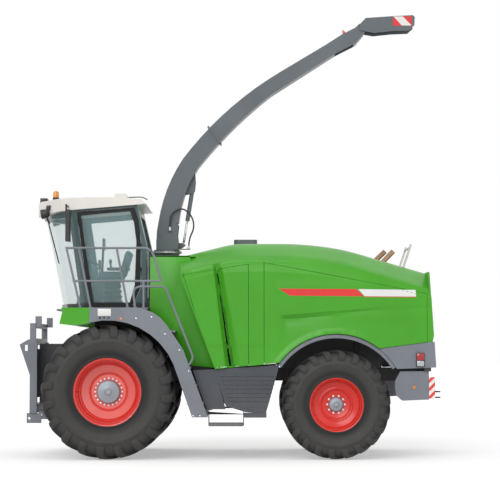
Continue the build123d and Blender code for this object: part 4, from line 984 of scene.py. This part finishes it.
def sheet(cuts, edge=3, raised=None, lines=(), unwanted=None):
    """Closed part of the skin between cutting planes, 22 thick, with soft edges."""
    piece = copied(base_skin)
    for point, normal in cuts:
        cut(piece, point, normal)
    tidy_mesh(piece)
    for point, normal in lines:
        score(piece, point, normal)
    if unwanted:
        tidy_mesh(drop_faces(piece, unwanted))
    modify(piece, "SOLIDIFY", thickness=0.022, offset=-1, use_even_offset=True)
    if raised is not None:
        carve(piece, under_hood(raised))
    return rounded(piece, edge, 2, 60)


def inside(spot, planes):
    """Whether a point of the hood's side lies behind every plane."""
    behind = [(spot - Vector(point)).dot(Vector(normal)) < 0 for point, normal in planes]
    return abs(spot.y) > 1380 and all(behind)


base_skin = hood_skin()
seam_a = -474
seam_b = -248
gap = 6
left_half = ((0, 700, 0), (0, -1, 0))
gull_slope = Vector((-465, 0, 2420)).normalized().xz
door_slope = Vector((160, 0, 977)).normalized().xz

gull_cuts = [
    plane(seam_a - gap, 0, 1, 0), plane(-2900, 0, -1, 0), left_half, plane(-480, 2925, *gull_slope)
]
place_pair(sheet(gull_cuts, raised=gap), "gull_panel", leaf_green, "side_panel", True, 24)

door_cuts = [
    plane(seam_b + gap, 0, -1, 0), left_half, plane(735, 2740, *door_slope),
    plane(548, 2183, 0.9533, -0.3018), plane(548, 2183, 0.9415, -0.3369), plane(290, 1368, -0.0451, -0.999),
]
place_pair(sheet(door_cuts), "side_door", leaf_green, "side_door", True, 24)

band_cuts = [plane(seam_b, 0, 1, 0), plane(seam_a, 0, -1, 0)]
place(sheet(band_cuts, 2, 0), "hood_band_skin", leaf_green, stands_for=["hood_band"], smooth=24)

gull_lines = [plane(-480, 2925 + gap, *gull_slope), plane(-2906, 0, 1, 0)]
top = sheet(
    [plane(seam_a, 0, 1, 0), plane(-2945, 2795, -0.998, 0.0637), plane(-3006, 1840, -0.976, -0.216)],
    raised=0, lines=gull_lines, unwanted=lambda c: c.x > -2906 and inside(c, gull_lines[:1]),
)
place(top, "hood_top_skin", leaf_green, stands_for=["hood_top"], smooth=24)

door_lines = [
    plane(735, 2740 + gap, *door_slope), plane(548 + gap, 2183, 0.9533, -0.3018),
    plane(548 + gap, 2183, 0.9415, -0.3369),
]
door_edges = [*door_lines, plane(290, 1368 - gap, -0.0451, -0.999), plane(seam_b, 0, -1, 0)]
front = sheet(
    [plane(seam_b, 0, -1, 0), plane(572, 2183, 0.9354, -0.3536), plane(760, 2680, 0.9981, -0.062)],
    raised=0, lines=[*door_lines, plane(290, 1368 - gap, 0.0451, 0.999), plane(seam_b + 1, 0, 1, 0)],
    unwanted=lambda c: inside(c, door_edges),
)
place(front, "hood_front_skin", leaf_green, stands_for=["hood_front"], smooth=24)
bpy.data.objects.remove(base_skin)

# Front walls of the hood beside the cowl, and the cowl itself
wall = side_plate(
    [(253, 1340), (572, 2183), (760, 2680), (783, 3050), (760, 3050), (737, 2680), (549, 2183), (230, 1340)],
    1103, 1442, bevel=0,
)
cut(wall, (783, 1000, 3042), (0, 0.5417, 0.8406))
edit_all(wall)
bpy.ops.mesh.fill_holes(sides=0)
tidy_mesh(wall)
place(two_sides(wall), "hood_front_walls", leaf_green)

cowl_front_x = 1240
cowl_arch = 1100
cowl_outline = [(cowl_front_x, 3045), (640, 3045), (232, 1352)]
for angle in (158, 150, 142, 134, 126):
    turn = radians(angle)
    cowl_outline.append((front_axle_x + cowl_arch * cos(turn), front_tyre_radius + cowl_arch * sin(turn)))
cowl_rise = sqrt(cowl_arch**2 - (front_axle_x - cowl_front_x) ** 2)
cowl_outline.append((cowl_front_x, front_tyre_radius + cowl_rise))
cowl_side = side_plate(cowl_outline, 1106, 1128, bevel=3)
cowl_top = flat_plate(
    [(1240, 1128), (560, 1128), (560, -1128), (1240, -1128), (1240, -190), (850, -190), (850, 190),
        (1240, 190)],
    3023, 3045, bevel=3,
)
place(joined(two_sides(cowl_side), cowl_top), "cowl", leaf_green)

# Rear face of the hood with a louvred grille
tail_face = side_plate(
    [(-2946, 2778), (-3004, 1840), (-2984, 1752), (-2962, 1752), (-2982, 1840), (-2924, 2790)], -1408, 1408, 4
)
tail_slats = side_plate([(-2975, 2040), (-3002, 2026), (-3006, 2016), (-2978, 2026)], -900, 900, 1)
in_rows(tail_slats, (3.6, 0, 56), 11)
place(tail_face, "hood_rear_face", leaf_green)
place(tail_slats, "rear_grille_slats", black_plastic)


# Side stripe, blank, laid on the gull-wing panels

def side_film(corners, rows=6):
    """Thin film over the hood's side between four corners, the lower front one first."""
    deselect()
    bpy.ops.mesh.primitive_grid_add(x_subdivisions=60, y_subdivisions=rows, size=2)
    film = bpy.context.active_object
    lift = 1.2
    for vertex in film.data.vertices:
        u, v = (vertex.co.x + 1) / 2, (vertex.co.y + 1) / 2
        x, z = [
            (a * (1 - u) + b * u) * (1 - v) + (d * (1 - u) + c * u) * v for a, b, c, d in zip(*corners)
        ]
        vertex.co = Vector((x, hood_half_width + side_relief(x, z) + lift, z)) / 1000
    modify(film, "SOLIDIFY", thickness=0.002, offset=-1)
    return tidy_mesh(film)


red_film = joined(
    side_film([(-865, 2429), (-1962, 2420), (-1849, 2528), (-694, 2535)]),
    side_film([(-1975, 2409), (-2740, 2404), (-2738, 2414), (-1966, 2419)], rows=1),
)
white_film = side_film([(-1973, 2421), (-2738, 2416), (-2733, 2516), (-1877, 2528)])
place_pair(red_film, "stripe_red", stripe_red, "side_panel")
place_pair(white_film, "stripe_white", stripe_white, "side_panel")

# Trim round the wheel arches
trim = []
for radius, first, last in ((1043, 34, 148), (985, 148, 34)):
    for i in range(41):
        angle = radians(first + (last - first) * i / 40)
        trim.append((rear_axle_x + radius * cos(angle), rear_tyre_radius + radius * sin(angle)))
place(two_sides(side_plate(trim, 1402, 1426, 5)), "arch_trim", mid_grey)


# Rails, round and bent
rail_y = 1571
rails = [
    pipe([(2457, rail_y, 3134), (1238, rail_y, 3134), (1157, rail_y, 3030), (1050, rail_y, 2640)], 17, 70),
    rod((2348, rail_y, 2644), (1050, rail_y, 2644), 16),
    pipe([(1433, rail_y, 2251), (1467, rail_y, 2500), (1408, rail_y, 2563), (990, rail_y, 2563),
          (567, rail_y, 1500), (640, rail_y, 1400)], 17, 60),
]
# Columns: foot's x and z, head's x and z
rail_posts = [
    (2246, 2251, 2457, 3134), (2095, 2251, 2272, 3134), (1545, 2251, 1711, 3134), (1310, 2251, 1310, 2644)
]
for foot_x, foot_z, head_x, head_z in rail_posts:
    rails.append(rod((foot_x, rail_y, foot_z), (head_x, rail_y, head_z), 16))
for x, z in ((2457, 3134), (2348, 2644), (1050, 2644)):
    rails.append(turned([(-17, 0), (-17, 17), (17, 17), (17, 0)], (x, rail_y, z), steps=16))
for x in (2246, 2095, 1545, 1310, 1433):
    rails.append(rod((x, rail_y, 2250), (x, rail_y, 2258), 34, 20, 2))
place(joined(*rails), "round_handrails", mid_grey, stands_for=["handrails"])

place(brick((1790, 1985), (1599, 1602), (2128, 2232), 1), "blank_plate", plate_white)

# Bolt heads, push buttons and reflector on the outer plate
outer_bolts = [
    (1417, 2089), (1189, 2109), (988, 1859), (775, 1619), (638, 1312), (672, 823), (570, 653), (470, 653)
]
bolt_heads = [rod((x, 1596, z), (x, 1606, z), 13, 6, 2) for x, z in outer_bolts]
place(joined(*bolt_heads), "plate_bolts", zinc_bolt)
buttons = [rod((x, 1596, 2097), (x, 1608, 2097), 15, 24, 3) for x in (1952, 1891, 1824)]
place(joined(*buttons), "plate_buttons", black_plastic)
place(rod((1639, 1596, 2081), (1639, 1607, 2081), 20, 28, 3), "plate_reflector", amber_lens)


# Seat: pressed foam cushions under a woven cover

def cushion(xs, ys, zs, turn=None):
    """Padded block blown up by a short cloth simulation, with its corners soft."""
    piece = brick(xs, ys, zs, bevel=26, segments=4)
    furthest = 12 / 1000
    if turn:
        piece.data.transform(turn)
    choose(piece)
    piece.data.remesh_voxel_size = 0.006
    bpy.ops.object.voxel_remesh()
    start = [vertex.co.copy() for vertex in piece.data.vertices]
    bpy.ops.object.modifier_add(type="CLOTH")
    cloth = piece.modifiers[-1]
    cloth.settings.use_pressure = True
    cloth.settings.uniform_pressure_force = 4
    cloth.settings.effector_weights.gravity = 0
    cloth.settings.tension_stiffness = 15
    cloth.settings.bending_stiffness = 0.5
    cloth.point_cache.frame_start = 1
    cloth.point_cache.frame_end = 20
    for step in range(1, 21):
        bpy.context.scene.frame_set(step)
    bpy.ops.object.modifier_apply(modifier=cloth.name)
    bpy.context.scene.frame_set(1)
    for vertex, rest in zip(piece.data.vertices, start):
        move = vertex.co - rest
        if move.length > furthest:
            vertex.co = rest + move.normalized() * furthest
    return piece


seat_base = cushion((1702, 2082), (-238, 238), (2736, 2836))
seat_hinge = Vector((1.745, 0, 2.76))
lean_back = (
    Matrix.Translation(seat_hinge) @ Matrix.Rotation(radians(-16.5), 4, "Y") @ Matrix.Translation(-seat_hinge)
)
place(seat_base, "seat_cushion", seat_cloth, stands_for=["seat"], smooth=60)
seat_back = cushion((1702, 1780), (-226, 226), (2770, 3186), lean_back)
place(seat_back, "seat_backrest", seat_cloth, smooth=60)

bellows = [
    (0, 0), (0, 190), (60, 190), (90, 150), (130, 176), (170, 140), (210, 166), (250, 132), (290, 158),
    (330, 126),
    (370, 150), (410, 130), (441, 150), (441, 0),
]
lever_knob = [(0, 0), (0, 16), (30, 26), (60, 24), (72, 10), (72, 0)]
pedestal = [
    brick((1730, 2060), (-200, 200), (2690, 2728), 8), turned(bellows, (1900, 0, 2250), upright, 32),
    brick((1640, 1990), (-330, -262), (2880, 2930), 14), brick((1640, 1960), (262, 322), (2860, 2905), 14),
    rod((1940, -296, 2925), (1950, -296, 3010), 16, 16, 4),
    turned(lever_knob, (1950, -296, 2990), upright, 20),
]
place(joined(*pedestal), "seat_frame", black_plastic)

# Steering wheel, column, side console and monitor
wheel_axis = Vector((-0.41, 0, 0.912)).normalized()
wheel_middle = Vector((2285, 0, 3035))
deselect()
bpy.ops.mesh.primitive_torus_add(
    major_segments=56, minor_segments=14, major_radius=0.186, minor_radius=0.014,
    location=wheel_middle / 1000,
    rotation=wheel_axis.to_track_quat("Z", "Y").to_euler(),
)
steering = [flatten_place(bpy.context.active_object)]
hub_spot = wheel_middle - wheel_axis * 26
steering.append(turned([(-30, 0), (-30, 34), (0, 52), (16, 50), (24, 36), (26, 0)], hub_spot, wheel_axis, 28))
spoke = wheel_axis.cross(Vector(sideways)) * 184
for angle in (0, 130, 230):
    rim_point = wheel_middle + Matrix.Rotation(radians(angle), 3, wheel_axis) @ spoke
    steering.append(rod(hub_spot, rim_point, 11, 12))
column_boot = [(0, 0), (0, 110), (30, 100), (90, 66), (160, 52), (160, 0)]
steering += [
    rod((2398, 0, 2250), tuple(hub_spot), 44, 24, 4), turned(column_boot, (2396, 0, 2250), upright, 28),
    brick((1960, 2260), (-560, -360), (2251, 2700), 22), brick((1900, 2270), (-575, -345), (2690, 2760), 20),
    rod((2100, -460, 2750), (2080, -460, 3240), 20, 16), brick((2046, 2084), (-590, -330), (3220, 3400), 10),
    brick((2120, 2160), (-640, -440), (2900, 3060), 10), rod((2140, -540, 2740), (2140, -540, 2910), 14, 12),
]
for i in range(4):
    steering.append(rod((1960 + 55 * i, -420, 2750), (1966 + 55 * i, -420, 2800 + 10 * (i % 2)), 9, 10, 3))
place(joined(*steering), "steering_and_console", black_plastic, stands_for=["console"])
screens = joined(
    brick((2042, 2047), (-578, -342), (3232, 3388), 1), brick((2116, 2121), (-628, -452), (2912, 3048), 1)
)
place(screens, "monitor_screens", screen_face)


# Black sheets behind the panel gaps, sills and fenders: painted shade, standing in for the shade in these gaps
# and recesses
shade_sheets = joined(
    brick((-262, -230), (1385, 1422), (1400, 2860), 0), brick((300, 900), (1090, 1104), (1250, 1500), 0),
    brick((1250, 2100), (800, 812), (1900, 2225), 0),
    side_plate([(405, 712), (-505, 655), (-505, 620), (-190, 620), (-190, 668), (405, 668)], 1386, 1404, 0),
)
place(two_sides(shade_sheets), "panel_gap_shade_sheets", pillar_black)

# Beacon and work lights on the cab roof
lamp_bodies = joined(
    brick((2850, 2960), (470, 650), (3880, 3955), 8), brick((2850, 2960), (-650, -470), (3880, 3955), 8),
    rod((2700, 800, 3890), (2700, 800, 3950), 50, 32, 4),
)
place(lamp_bodies, "roof_lamp_bodies", black_plastic, stands_for=["roof_lamps"])
dome = turned([(0, 1), (0, 46), (60, 44), (88, 38), (100, 22), (102, 1)], (2700, 800, 3950), upright, 40)
place(dome, "beacon_dome", amber_lens)
lamp_aim = (1, 0, -0.2)
corner_lamp = joined(
    turned([(0, 1), (0, 40), (30, 66), (120, 74), (128, 70), (128, 1)], (2800, 805, 3715), lamp_aim, 36),
    rod((2790, 800, 3830), (2830, 805, 3700), 14), brick((2770, 2850), (740, 800), (3760, 3830), 10),
)
place(two_sides(corner_lamp), "corner_lamp_bodies", black_plastic)
corner_glass = turned([(0, 1), (0, 66), (6, 60), (10, 1)], (2925, 805, 3689), lamp_aim, 36)
place(two_sides(corner_glass), "corner_lamp_lenses", clear_lens)
wiper = joined(rod((2838, 690, 3620), (2655, 720, 2940), 9), rod((2812, 690, 3560), (2850, 660, 3640), 14))
place(wiper, "wiper_arm", black_plastic)
wire = pipe([(1760, 800, 3942), (1500, 800, 3958), (1350, 800, 3958), (1304, 800, 3915)], 8)
place(wire, "roof_wire", black_plastic)

# Rear lamps: dark housings with a red lens over a clear one
housing = brick((-2858, -2734), (1440, 1470), (1372, 1581), 8)
place(two_sides(housing), "tail_lamp_housings", black_plastic, stands_for=["tail_lamps"])
place(two_sides(brick((-2848, -2744), (1468, 1484), (1470, 1571), 6)), "tail_lamp_red", red_lens)
place(two_sides(brick((-2848, -2744), (1468, 1482), (1382, 1462), 6)), "tail_lamp_clear", clear_lens)
reflector = turned([(0, 1), (0, 26), (5, 23), (7, 1)], (-2710, 1389, 1070), sideways, 28)
place(two_sides(reflector), "side_reflectors", amber_lens)

# Striped boards, actuator and marker on the spout's end
board = side_plate([(-2520, 6722), (-2812, 6722), (-2812, 6868), (-2520, 6868)], 170, 173, 0)
place(two_sides(board), "flap_boards_red", stripe_red, "spout_flap")
band = side_plate([(-2529, 6867), (-2675, 6867), (-2811, 6723), (-2657, 6723)], 172, 174, 0)
place(two_sides(band), "flap_boards_white", plate_white, "spout_flap")
actuator = joined(
    rod((-2100, 0, 6836), (-2250, 0, 6853), 20, 20, 3), rod((-2240, 0, 6852), (-2390, 0, 6869), 11)
)
place(actuator, "flap_actuator", bare_steel, "spout_flap")
marker = side_plate([(-1745, 6585), (-1790, 6600), (-1768, 6655), (-1745, 6682), (-1725, 6676)], -14, 14, 3)
place(marker, "spout_marker", stripe_red, "spout")

# Turntable ring with its bolts
ring = turned([(0, 200), (0, 238), (24, 238), (24, 200)], (1040, 0, 3135), upright, 72)
ring_bolt = rod((1264, 0, 3159), (1264, 0, 3172), 9, 6, 1)
place(joined(ring, round_the(ring_bolt, (1040, 0, 0), upright, 24)), "turntable_ring", bare_steel)

# Floor, sky and suns
deselect()
bpy.ops.mesh.primitive_plane_add(size=400, location=(0, 0, -0.0005))
floor = bpy.context.active_object
floor.name = "studio_floor"
floor_paint = bpy.data.materials.new("studio floor white")
floor_paint.use_nodes = True
tree = floor_paint.node_tree
tree.nodes.remove(tree.nodes["Principled BSDF"])
matt = node(tree, "ShaderNodeBsdfDiffuse")
matt.inputs["Color"].default_value = (0.80, 0.80, 0.80, 1)
glow = node(tree, "ShaderNodeEmission")
tree.links.new(maths(tree, "MULTIPLY", plainly_seen(tree), 0.38), glow.inputs["Strength"])
both = node(tree, "ShaderNodeAddShader")
tree.links.new(matt.outputs[0], both.inputs[0])
tree.links.new(glow.outputs[0], both.inputs[1])
tree.links.new(both.outputs[0], tree.nodes["Material Output"].inputs["Surface"])
floor.data.materials.append(floor_paint)

world = bpy.data.worlds.new("studio")
bpy.context.scene.world = world
world.use_nodes = True
tree = world.node_tree
tree.nodes.clear()
sky = node(tree, "ShaderNodeBackground")
sky.inputs["Color"].default_value = (1, 1, 1, 1)
tree.links.new(spread(tree, plainly_seen(tree), 0, 1, 0.52, 1.0), sky.inputs["Strength"])
tree.links.new(sky.outputs[0], node(tree, "ShaderNodeOutputWorld").inputs["Surface"])

# Columns: name, direction the light comes from, strength, softness in degrees
suns = [
    ("key_light", (0.35, 1.0, 0.55), 1.35, 40), ("rear_fill", (-0.8, 0.6, 0.35), 0.35, 60),
    ("top_fill", (0, -0.3, 1), 0.35, 60),
]
for name, source, power, softness in suns:
    deselect()
    source = Vector(source)
    bpy.ops.object.light_add(type="SUN", location=source * 10,
        rotation=source.to_track_quat("Z", "Y").to_euler())
    lamp = bpy.context.active_object
    lamp.name = name
    lamp.data.energy = power
    lamp.data.angle = radians(softness)

bpy.context.scene.view_settings.view_transform = "Standard"
